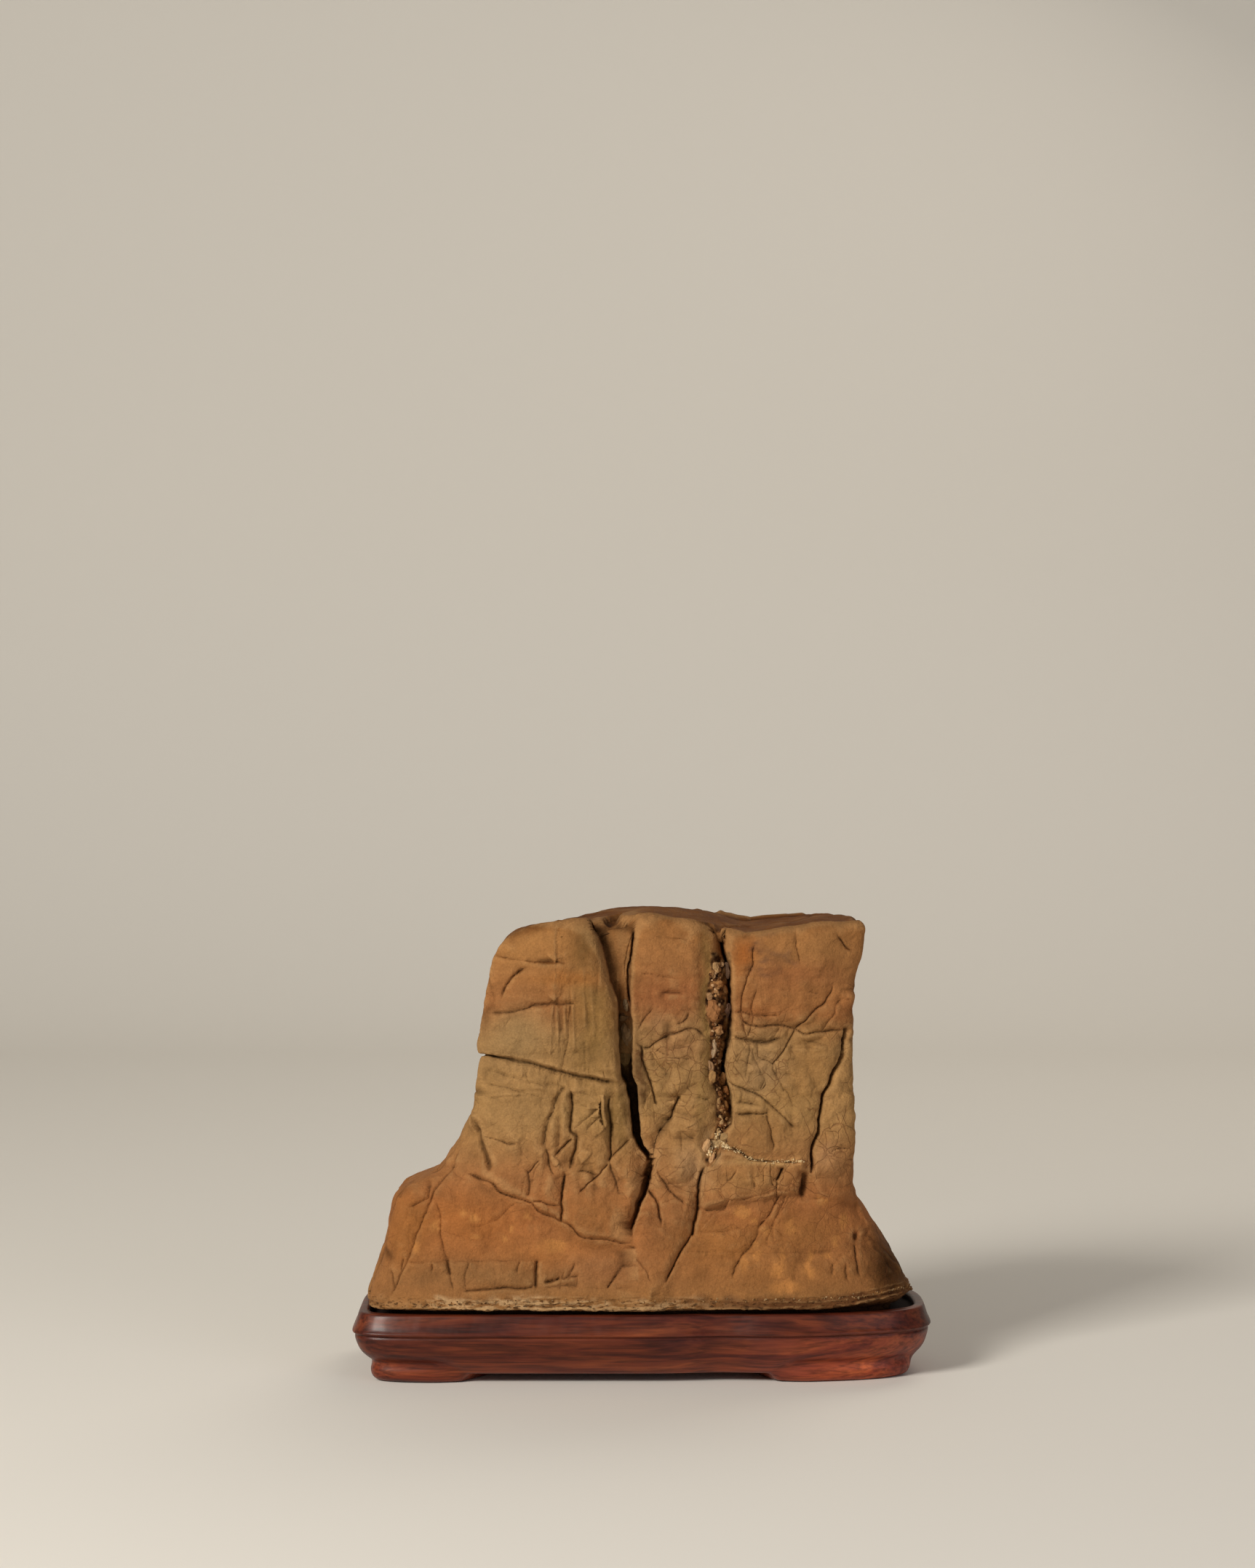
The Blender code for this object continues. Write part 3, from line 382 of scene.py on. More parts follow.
rightColumnLines = {
    "topCrack": (0.5, 0.7, [(1094, 1270), (1095, 1288), (1097, 1302), (1099, 1313), (1100, 1327)]),
    "longLeft": (0.5, 0.8, [(1039, 1278), (1035, 1292), (1035, 1306), (1036, 1319), (1033, 1329),
                            (1027.6, 1344), (1022, 1361), (1019, 1378), (1020, 1395), (1022, 1409),
                            (1027, 1428)]),
    "nextLeft": (0.45, 0.7, [(1042, 1355), (1037, 1373), (1033.6, 1388), (1036, 1399), (1032, 1416),
                             (1029, 1425)]),
    "thirdLeft": (0.4, 0.5, [(1017, 1395), (1021, 1409), (1026, 1427)]),
    "shortHigh": (0.4, 0.5, [(1006, 1338.5), (1017, 1339.5), (1028, 1338.5)]),
    "shortNext": (0.3, 0.3, [(1006, 1345), (1017, 1350.5)]),
    "flakeCut": (0.6, 1.0, [(1149, 1279), (1155, 1289), (1162, 1298), (1170, 1305)]),
    "faintA": (0.35, 0.35, [(1070, 1362.5), (1085, 1361)]),
    "faintB": (0.35, 0.4, [(1106, 1363), (1120, 1365), (1134, 1368)]),
    "faintC": (0.35, 0.4, [(1149, 1371.5), (1166, 1374)]),
    "longSlant": (0.55, 1.0, [(1145, 1350), (1142.6, 1364), (1134, 1379), (1122, 1388), (1110, 1399),
                              (1096, 1412.5), (1089.5, 1425), (1083, 1438), (1072, 1452), (1063.7, 1463)]),
    "slantShade": (0.35, 0.35, [(1095, 1378), (1081, 1387), (1072, 1396)]),
    "crossHigh": (0.5, 0.8, [(1006, 1391), (1019, 1392), (1034, 1395), (1052, 1396.7), (1069, 1396)]),
    "crossMiddle": (0.6, 1.0, [(1023, 1406), (1034, 1410), (1052, 1411), (1074, 1410.5), (1093, 1415),
                               (1108, 1421), (1120, 1419.5), (1138, 1418), (1161, 1416), (1171, 1409)]),
    "crossLow": (0.8, 1.1, [(1006, 1424.5), (1021, 1430), (1043, 1434), (1057, 1433), (1069, 1428),
                            (1078, 1427)]),
    "crossFork": (0.4, 0.5, [(1072, 1414), (1066, 1422), (1060, 1428)]),
    "smearA": (1.2, 0.5, [(1098, 1427), (1115, 1433), (1140, 1436)]),
    "smearB": (1.0, 0.4, [(1085, 1440), (1110, 1441), (1135, 1443)]),
    "jointDark": (1.1, 3.4, [(1161.5, 1416), (1160, 1433), (1158, 1449), (1153, 1466), (1144.7, 1481),
                             (1136, 1498), (1130, 1515), (1128, 1539), (1125.8, 1560), (1119, 1581),
                             (1119, 1602), (1116.5, 1617)]),
    "jointSide": (0.5, 0.9, [(1150.7, 1449), (1149, 1461), (1152.4, 1469)]),
    "rightSlant": (0.45, 0.6, [(1155, 1375), (1148, 1384), (1146, 1395), (1136, 1409), (1128, 1418)]),
    "loop": (0.5, 0.7, [(1042, 1435), (1042.7, 1449), (1050, 1456.5), (1063, 1462.5), (1064, 1471),
                        (1069, 1478), (1075, 1488), (1077.5, 1500)]),
    "legA": (0.4, 0.55, [(1030, 1435), (1031, 1449), (1027.6, 1466), (1026.7, 1488)]),
    "legB": (0.4, 0.55, [(1035, 1443), (1041, 1462), (1050, 1478), (1052, 1485), (1046, 1495)]),
    "fanA": (0.4, 0.45, [(1008, 1450), (1012, 1457), (1017, 1464)]),
    "fanB": (0.4, 0.45, [(1000, 1460), (1008, 1467), (1017, 1475)]),
    "fanC": (0.35, 0.4, [(1012, 1446), (1017, 1455)]),
    "sweep": (0.6, 0.95, [(998, 1484), (1010, 1492), (1029, 1500.5), (1045, 1507), (1056, 1515), (1070, 1528),
                          (1085, 1542), (1099, 1554)]),
    "sweepArm": (0.4, 0.6, [(1022, 1497), (1042, 1499), (1052.5, 1492), (1052.5, 1483)]),
    "branch": (0.45, 0.6, [(1063, 1464), (1065, 1474), (1074, 1486), (1077.5, 1495), (1086, 1509.6),
                           (1092, 1526)]),
    "slabTop": (0.5, 0.8, [(1007, 1517), (1019, 1515), (1033, 1517), (1051, 1519.5)]),
    "slabFoot": (0.55, 0.9, [(1007, 1527), (1015, 1531.5), (1035, 1532), (1054, 1530)]),
    "upright": (0.5, 0.9, [(1055, 1535), (1059, 1551), (1062, 1563), (1064, 1574), (1060.5, 1587)]),
    "sideNick": (0.35, 0.4, [(1098, 1500), (1110, 1512), (1118, 1530)]),
    "rightNotch": (0.5, 0.7, [(1140, 1584), (1152, 1578), (1166, 1577)]),
    "ledgeShelf": (0.7, 1.5, [(995, 1577), (1011, 1581), (1026, 1590), (1036, 1595), (1051, 1597),
                              (1072, 1597.5), (1104, 1597)]),
}
footLines = {
    "lipUnder": (0.8, 0.7, [(960, 1661), (974, 1664.5), (992, 1664.5), (998, 1659), (1003, 1651)]),
    "lipFoot": (0.8, 0.6, [(998, 1652), (1026, 1649), (1047, 1642.5), (1068, 1637), (1089, 1638.5),
                           (1100, 1641), (1108, 1646), (1115, 1648), (1131, 1648), (1142, 1655)]),
    "cutA": (0.35, 0.55, [(1050, 1603), (1050, 1617), (1051, 1633)]),
    "cutB": (0.4, 0.55, [(1037, 1621), (1038, 1636)]),
    "cutC": (0.45, 0.7, [(1060, 1602), (1060.5, 1620), (1067, 1636)]),
    "cutD": (0.9, 1.9, [(1080, 1603), (1074, 1613), (1070, 1622)]),
    "cutDFoot": (0.5, 0.9, [(1071, 1620), (1069, 1633), (1068, 1646)]),
    "cutE": (0.4, 0.5, [(1092, 1615), (1088, 1628), (1084, 1641)]),
    "cutF": (0.5, 0.7, [(1015, 1605), (1008, 1617), (999, 1625)]),
    "cutG": (0.4, 0.55, [(985, 1636), (994, 1650)]),
    "pocket": (2.4, 2.8, [(1101, 1606), (1107, 1616), (1108, 1630), (1105, 1642)]),
    "runA": (0.5, 0.8, [(1071, 1646), (1063, 1659), (1052.6, 1677), (1043, 1687), (1040, 1699), (1032, 1714),
                        (1021, 1727), (1011, 1743), (1007, 1763)]),
    "runB": (0.4, 0.6, [(1080, 1646), (1072, 1664), (1064, 1678), (1056.5, 1698), (1052.6, 1717)]),
    "runC": (0.35, 0.45, [(1088, 1641), (1076, 1662), (1063, 1683), (1061.7, 1696), (1065, 1712)]),
    "swell": (0.5, 0.5, [(963, 1694.7), (985, 1694), (1005, 1691), (1026, 1685)]),
    "fork": (0.35, 0.4, [(985, 1666), (971, 1680), (958, 1696)]),
    "pitCrack": (0.6, 1.0, [(1178.6, 1714), (1180.7, 1740), (1185, 1759)]),
    "pitSlotA": (0.5, 0.8, [(1162.4, 1732), (1164.5, 1753), (1170, 1767)]),
    "pitSlotB": (0.6, 0.7, [(1146, 1741), (1144.5, 1754)]),
    "pitArch": (0.3, 0.35, [(1141.5, 1743), (1157, 1727), (1170, 1720)]),
    "smallSlot": (0.35, 0.4, [(1094, 1750), (1094, 1762)]),
    "bandLine": (0.4, 0.25, [(940, 1721), (1000, 1722), (1080, 1723), (1141, 1721), (1176, 1717)]),
    "shoulderA": (0.6, 0.9, [(587, 1618), (590, 1631), (589, 1646)]),
    "shoulderB": (0.5, 0.8, [(587, 1648), (573, 1655.5), (560, 1662)]),
    "shoulderDark": (0.7, 1.0, [(627, 1580), (623, 1590), (619, 1603)]),
    "longPale": (0.6, 0.8, [(620, 1605), (601, 1629), (590, 1656), (579, 1682), (569, 1703), (561, 1726),
                            (550, 1748), (539.5, 1769), (533, 1785)]),
    "ridgeLine": (0.4, 0.4, [(620, 1609), (633, 1620), (646, 1626)]),
    "footCrack": (0.45, 0.7, [(598, 1647), (603, 1662), (605.5, 1675), (605, 1693), (607, 1708), (611, 1726),
                              (615, 1739), (618, 1754), (620, 1769), (621, 1780)]),
    "footCrackWide": (1.0, 1.3, [(613.5, 1734), (615, 1743), (617, 1752)]),
    "paleThread": (0.3, 0.3, [(610, 1693), (628, 1699), (640, 1700), (653, 1706), (666, 1705)]),
    "webA": (0.35, 0.4, [(640, 1690), (671, 1682), (694, 1668), (703, 1657), (722, 1655)]),
    "webB": (0.3, 0.35, [(658, 1687), (684, 1676), (702, 1659)]),
    "panelTop": (0.5, 0.45, [(538, 1737), (600, 1735), (663, 1734), (735, 1734)]),
    "panelEnd": (0.45, 0.6, [(644, 1736), (637, 1756), (639, 1774)]),
    "panelFoot": (0.75, 1.1, [(640, 1775.5), (666, 1774), (691, 1771), (712, 1772), (730, 1769.5)]),
    "slotOne": (0.6, 0.7, [(713, 1737), (709, 1752)]),
    "slotTwo": (1.3, 1.7, [(738, 1736), (736, 1751), (735, 1769)]),
    "slotThree": (0.5, 0.8, [(791, 1733), (788, 1744), (783, 1755)]),
    "slotFour": (0.5, 0.7, [(777.6, 1745), (773, 1759), (770, 1772)]),
    "slotFive": (0.45, 0.6, [(793.5, 1754), (793.5, 1769)]),
    "hollowA": (1.1, 1.4, [(744, 1762), (755, 1762.8), (768, 1759.7)]),
    "hollowB": (0.6, 0.8, [(773, 1760), (783, 1757.7), (793.5, 1755.5)]),
    "hollowLine": (0.5, 0.7, [(742, 1770.5), (755, 1771), (770, 1768.7), (792, 1768)]),
    "tallySlot": (0.5, 0.7, [(592.3, 1735), (592, 1749)]),
    "cornerA": (0.6, 0.8, [(532, 1741), (534.5, 1756), (538, 1769)]),
    "cornerB": (0.7, 0.9, [(552, 1733), (549, 1744)]),
    "floorLineA": (0.4, 0.5, [(842, 1771.7), (867, 1772)]),
    "floorLineB": (0.3, 0.35, [(803, 1771), (835, 1772)]),
    "sproutA": (0.5, 0.95, [(867, 1715), (865, 1728), (853, 1745), (843, 1758), (836, 1770)]),
    "sproutB": (0.5, 0.7, [(872, 1722), (880, 1738), (890, 1751), (893, 1761), (901, 1767)]),
}

# Dents of the front: pixel, half width and half height in pixels, depth in mm (below 0 is a boss)
stoneDents = {
    "seamEye": (752, 1321, 12, 4, 0.9),
    "seamCorner": (697, 1315, 14, 4, 0.5),
    "lowEye": (738, 1381, 16, 4, 0.6),
    "aboveLedge": (740, 1452, 60, 8, 0.5),
    "ribEye": (770.5, 1412, 2.6, 9, 0.7),
    "shoulder": (690, 1292, 10, 22, 0.5),
    "pit": (1178, 1698, 4, 6, 2.2),
    "flake": (1166, 1289, 9, 9, 0.6),
    "pillowLeft": (700, 1545, 34, 50, -1.3),
    "pillowBetween": (775, 1535, 8, 30, -1.0),
    "pillowOver": (808, 1520, 10, 26, -0.9),
    "pillowUnderCrack": (812, 1588, 22, 16, -1.6),
    "pillowFold": (768, 1596, 9, 26, -1.0),
    "pillowFoot": (800, 1665, 26, 24, -1.2),
    "pillowRight": (866, 1620, 12, 34, -1.1),
    "middleBoss": (946, 1545, 14, 15, -0.9),
    "middleUpper": (920, 1330, 28, 40, -0.5),
    "middleWaist": (918, 1436, 26, 10, -0.5),
    "middleLower": (935, 1600, 18, 18, -0.6),
    "rightUpper": (1110, 1330, 46, 40, -0.5),
    "rightKnob": (1018, 1410, 12, 13, -0.6),
    "rightPlate": (1120, 1400, 34, 14, -0.4),
    "rightWaist": (1100, 1480, 30, 34, -0.6),
    "rightSlab": (1028, 1523, 22, 6, -0.4),
    "rightStrip": (1150, 1530, 14, 60, -0.5),
    "lipSwell": (1040, 1620, 40, 14, -0.6),
    "footSwell": (1000, 1640, 18, 14, -0.8),
    "panelSink": (600, 1757, 130, 16, 0.7),
    "panelBlock": (680, 1757, 36, 13, -0.9),
}

# Fractures of the sides that the photograph hides: cell
# width and height, depth, half width, step, all in mm, seed
hiddenCells = [
    (30.0, 56.0, 1.5, 1.0, 0.9, 61),
    (13.0, 24.0, 0.6, 0.5, 0.3, 62),
    (7.0, 8.0, 0.12, 0.4, 0.05, 63),
]
faintCells = [(8.0, 9.0, 0.3, 0.25, 0.08, 64), (4.2, 6.0, 0.16, 0.2, 0.03, 65)]


# The table's second column at height z, averaged over a few millimetres so that its corners are soft
def profileAt(z, table, soften=1.6):
    heights, values = np.array(table, float).T
    offsets = np.linspace(-soften, soften, 5)
    return sum(np.interp(z + d, heights, values) for d in offsets) / len(offsets)


# Squared ellipse: |cos| and |sin| to the power 2/n on each corner, stretched to the four edges
def planPoint(theta, left, right, front, back, widestY, corners, share):
    c, s = np.cos(theta), np.sin(theta)
    power = np.full(np.shape(theta), 3.0)
    where = {
        "frontLeft": (c < 0) & (s < 0),
        "frontRight": (c >= 0) & (s < 0),
        "backRight": (c >= 0) & (s >= 0),
        "backLeft": (c < 0) & (s >= 0),
    }
    for name, (low, high) in corners.items():
        power = np.where(where[name], low + (high - low) * share, power)
    reachX = np.sign(c) * np.abs(c) ** (2 / power)
    reachY = np.sign(s) * np.abs(s) ** (2 / power)
    depth = np.where(s < 0, widestY - front, back - widestY)
    return (left + right) / 2 + (right - left) / 2 * reachX, widestY + depth * reachY


# Angles that are evenly spaced by length along each quarter of an outline
def evenAngles(counts, outline):
    starts = {"backRight": 0.0, "backLeft": 0.5, "frontLeft": 1.0, "frontRight": 1.5}
    angles = []
    for name, start in starts.items():
        fine = np.linspace(start, start + 0.5, 1600) * np.pi
        x, y = outline(fine)
        length = np.concatenate([[0], np.cumsum(np.hypot(np.diff(x), np.diff(y)))])
        angles.append(np.interp(np.linspace(0, length[-1], counts[name] + 1)[:-1], length, fine))
    return np.concatenate(angles)


# The stone's outline at height z before relief: the squared ellipse through its four edges, drawn in
def stonePlan(theta, z, inset=0.0):
    form = stoneForm
    low, high = form["cornerBlend"]
    share = smoothStep((z - low) / (high - low))
    left, right = profileAt(z, form["left"]) + inset, profileAt(z, form["right"]) - inset
    front, back = profileAt(z, form["front"]) + inset, profileAt(z, form["back"]) - inset
    return planPoint(theta, left, right, front, back, form["widestY"], form["corners"], share)


# Rows from the middle of the underside to the middle of the top: height, share of the plan, inset
def stoneLevels():
    form = stoneForm
    top, seat, inset = form["tableTop"], form["seatZ"], form["seatInset"]
    under = [(seat, share, inset) for share in (0.0, 0.3, 0.6, 0.88, 1.0)]
    rise = [(24.8, 1.0, inset - 0.6), (25.3, 1.0, 5.0), (25.7, 1.0, 2.4), (26.0, 1.0, 1.0), (26.3, 1.0, 0.3)]
    wall = [(z, 1.0, 0.0) for z in np.linspace(form["crustZ"] - 0.4, top - 4.0, form["wallRows"])]
    turn = np.linspace(0, np.pi / 2, 13)[1:]
    edge = [(top - 4.0 + 4.0 * np.sin(t), 1.0, 4.0 * (1 - np.cos(t))) for t in turn]
    table = [(top + 0.6 * (1 - share), share, 4.0) for share in np.linspace(0.985, 0.0, form["topRows"])]
    return np.array(under + rise + wall + edge + table)


# Distance of each point to a closed outline, positive inside by the crossing rule
def outlineDistance(a, b, outline):
    nearest = np.full(a.shape, np.inf)
    inside = np.zeros(a.shape, bool)
    for (x0, y0), (x1, y1) in zip(outline, outline[1:] + outline[:1]):
        dx, dy = x1 - x0, y1 - y0
        along = np.clip(((a - x0) * dx + (b - y0) * dy) / (dx * dx + dy * dy), 0, 1)
        nearest = np.minimum(nearest, np.hypot(a - x0 - along * dx, b - y0 - along * dy))
        level = np.where(dy == 0, 1e-9, dy)
        inside ^= ((y0 > b) != (y1 > b)) & (a < x0 + (b - y0) * dx / level)
    return np.where(inside, nearest, -nearest)


# Depth of a groove along (a, b, half width, depth) points: full on the line, none at its edges
def grooveDepth(a, b, line):
    deepest = np.zeros(a.shape)
    for (x0, y0, w0, d0), (x1, y1, w1, d1) in zip(line, line[1:]):
        dx, dy = x1 - x0, y1 - y0
        along = np.clip(((a - x0) * dx + (b - y0) * dy) / (dx * dx + dy * dy), 0, 1)
        away = np.hypot(a - x0 - along * dx, b - y0 - along * dy)
        depth = d0 + (d1 - d0) * along
        deepest = np.maximum(deepest, depth * smoothStep(1.35 * (1 - away / (w0 + (w1 - w0) * along))))
    return deepest


# Curve through the points, each stretch a cubic whose slopes come from the neighbouring points
def smoothLine(points, steps=4):
    p = np.array(points, float)
    ends = np.vstack([2 * p[0] - p[1], p, 2 * p[-1] - p[-2]])
    t = np.linspace(0, 1, steps, endpoint=False)[:, None]
    stretches = []
    for a, b, c, d in zip(ends, ends[1:], ends[2:], ends[3:]):
        stretches.append(0.5 * (2 * b + (c - a) * t + (2 * a - 5 * b + 4 * c - d) * t**2
                                + (3 * b - a - 3 * c + d) * t**3))
    return np.vstack(stretches + [p[-1:]])


# Distance of each point to a line, its share along it from 0 to 1, 1 to -1 from its upper left to its lower
# right, and 1 or -1 for the side of the line that the point lies on
def nearLine(a, b, line):
    best, along, side, hand = np.full(a.shape, np.inf), np.zeros(a.shape), np.zeros(a.shape), np.ones(a.shape)
    length = np.concatenate([[0], np.cumsum(np.hypot(*np.diff(line, axis=0).T))])
    for (x0, y0), (x1, y1), start, end in zip(line, line[1:], length, length[1:]):
        dx, dy = x1 - x0, y1 - y0
        t = np.clip(((a - x0) * dx + (b - y0) * dy) / max(dx * dx + dy * dy, 1e-9), 0, 1)
        offA, offB = a - x0 - t * dx, b - y0 - t * dy
        away = offA**2 + offB**2
        closer = away < best
        best = np.where(closer, away, best)
        along = np.where(closer, (start + (end - start) * t) / length[-1], along)
        side = np.where(closer, -0.45 * offA - 0.9 * offB, side)
        hand = np.where(closer, np.where(dx * offB > dy * offA, 1.0, -1.0), hand)
    best = np.sqrt(best)
    return best, along, side / np.maximum(best, 1e-6), hand


# 1 for each end of a line that meets another hollow line, and 0 for an end that is free
def meetings(line, hollows, reach=1.3):
    others = np.vstack([other for other in hollows if other is not line])
    return [float(np.hypot(*(others - end).T).min() < reach) for end in (line[0], line[-1])]


# Hollows along lines: a sharp cleft and a wide slope, deeper on its upper side, as
# Gaussians and exponentials of the distance that fade at free ends. Also how many half
# widths a point lies to one side of its strongest line, and that line's strength
# there, from which the material draws the line's dark bottom, partly dirt and partly
# painted shade, finer than the mesh could
def carveLines(a, b, lines):
    cleft, slope = np.zeros(a.shape), np.zeros(a.shape)
    across, strength = np.full(a.shape, 9.0), np.zeros(a.shape)
    smoothed = [smoothLine(points) for _, _, points in lines]
    hollows = [line for line, (_, depth, _) in zip(smoothed, lines) if depth > 0]
    for line, (width, depth, _) in zip(smoothed, lines):
        reach = 7 * width + 6
        low, high = line.min(axis=0) - reach, line.max(axis=0) + reach
        near = np.flatnonzero((a > low[0]) & (a < high[0]) & (b > low[1]) & (b < high[1]))
        if not len(near):
            continue
        away, along, side, hand = nearLine(a[near], b[near], line)
        length = np.hypot(*np.diff(line, axis=0).T).sum()
        taper = min(4.0, 0.35 * length)
        first, last = meetings(line, hollows)
        fade = np.minimum(along * length / taper + first, (1 - along) * length / taper + last)
        fade = smoothStep(fade + 0.05)
        narrow = 0.45 * width
        shape = 0.6 * np.exp(-((away / narrow) ** 2)) + 0.4 * np.exp(-away / (2.2 * narrow))
        hollow = depth * min(0.5 + 0.4 * depth, 1) * fade * shape
        cleft[near] = np.where(np.abs(hollow) > np.abs(cleft[near]), hollow, cleft[near])
        wide = 0.6 * min(depth, 1.6) * fade * (1 + 0.6 * side) * np.exp(-away / (1.2 * width + 1.2))
        slope[near] = np.where(np.abs(wide) > np.abs(slope[near]), wide, slope[near])
        mark = np.clip(depth / 2.2, 0.22, 1) ** 1.4 * min(1, 0.9 / width) * fade
        mark = mark * np.exp(-((away / (1.5 * width + 0.15)) ** 2))
        across[near] = np.where(mark > strength[near], hand * away / (0.22 * width + 0.03), across[near])
        strength[near] = np.maximum(strength[near], mark)
    return cleft + slope, across, strength


# Every line of the front, from pixels to millimetres of the photograph's own plane
def frontLines():
    scale = cameraView["pixelsPerMm"]
    groups = (leftBlockLines, middleColumnLines, rightColumnLines, footLines)
    return [(width, depth, [(x / scale, y / scale) for x, y in points])
            for group in groups for width, depth, points in group.values()]


# Outward directions of a grid that closes along its columns: the cross product of its two steps
def gridNormals(grid):
    along = np.roll(grid, -1, axis=1) - np.roll(grid, 1, axis=1)
    normal = np.cross(along, np.gradient(grid, axis=0))
    normal /= np.maximum(np.linalg.norm(normal, axis=2, keepdims=True), 1e-9)
    normal[0], normal[-1] = (0, 0, -1), (0, 0, 1)
    return normal


# 1 between two edges that each picture row gives, and 0 outside them; and the share of the way across
def betweenEdges(px, py, rows, soft):
    y, left, right = np.array(rows, float).T[:3]
    edgeL, edgeR = np.interp(py, y, left), np.interp(py, y, right)
    across = np.clip((px - edgeL) / np.maximum(edgeR - edgeL, 1), 0, 1)
    inside = smoothStep((px - edgeL) / soft + 0.5) * smoothStep((edgeR - px) / soft + 0.5)
    return inside * (py > y[0] - 12) * (py < y[-1]), across


# Depth of an open joint: from one edge's depth to the other's, by a power of the share across the picture row
def jointDepth(px, py, power, rows):
    inside, across = betweenEdges(px, py, rows, 2.2)
    y, deepLeft, deepRight = np.array(rows, float).T[[0, 3, 4]]
    low, high = np.interp(py, y, deepLeft), np.interp(py, y, deepRight)
    return inside * (low + (high - low) * across**power)


# Folds: the size of a stretched noise, which has sharp
# valleys where the noise is nought and round crests between
def foldRelief(px, py, points):
    height = np.zeros(len(points))
    for x, y, halfX, halfY, wavelengths, tall, seed in stoneFolds.values():
        share = np.exp(-(((px - x) / halfX) ** 2 + ((py - y) / halfY) ** 2) ** 1.5)
        bent = points + 1.5 * latticeNoise(points / 9, seed + 20)[:, None]
        height += share * tall * (2 * np.abs(latticeNoise(bent / np.array(wavelengths), seed)) - 0.5)
    return height


# Steps up at the outlines of a side's blocks, less its broad grooves; on the sides that
# the photograph hides both are bent by noise, and the grooves are shallower in places
def blockRelief(chart, a, b, points):
    height, share = np.zeros(a.shape), 1.0
    if chart != "front":
        a = a + 2.6 * latticeNoise(points / 10, 34) + 0.9 * latticeNoise(points / 2.6, 35)
        b = b + 2.6 * latticeNoise(points / 10, 36) + 0.9 * latticeNoise(points / 2.6, 37)
        share = 0.25 + 0.75 * smoothStep(0.6 + 1.6 * latticeNoise(points / 15, 38))
    for side, push, rounding, outline in stoneBlocks.values():
        if side == chart:
            height += push * smoothStep(outlineDistance(a, b, outline) / (2 * rounding) + 0.5)
    depths = [grooveDepth(a, b, line) for side, line in stoneGrooves.values() if side == chart]
    return height - share * (np.max(depths, axis=0) if depths else 0)


# Relief of irregular cells: each stands at a level of its own, with a crack along its border
def cellRelief(a, b, points, cells):
    height, crackDirtAndShade = np.zeros(a.shape), np.zeros(a.shape)
    for wide, tall, depth, width, step, seed in cells:
        warp = 0.22 * wide
        shiftA = warp * latticeNoise(points / (0.5 * wide), seed) + 0.3 * latticeNoise(points / 1.7, seed + 5)
        shiftB = warp * latticeNoise(points / (0.5 * wide), seed + 9)
        border, level = cellPattern((a + shiftA) / wide, (b + shiftB) / tall, seed)
        border = border * min(wide, tall)
        broken = smoothStep(latticeNoise(points / (0.9 * wide), seed + 3) * 2.2 + 0.4)
        height += step * level * smoothStep(border / 1.6)
        height -= depth * broken * (0.6 * np.exp(-border / width) + 0.4 * np.exp(-border / (4 * width)))
        # darker along the borders: dirt in the cracks, and painted shade
        crackDirtAndShade = np.maximum(crackDirtAndShade, 0.6 * min(depth, 1.0) * broken * np.exp(-((border / (0.6 * width)) ** 2)))
    return height, crackDirtAndShade


# Broken pieces in the right-hand cleft: noise at two sizes, 1 at its highest and 0 at its lowest
def rubbleRelief(px, py, points):
    inside, _ = betweenEdges(px, py, rubbleBand, 3.0)
    rough = 0.6 * latticeNoise(points / 2.0, 66) + 0.4 * latticeNoise(points / 0.9, 67)
    return inside, 0.5 + 0.5 * rough
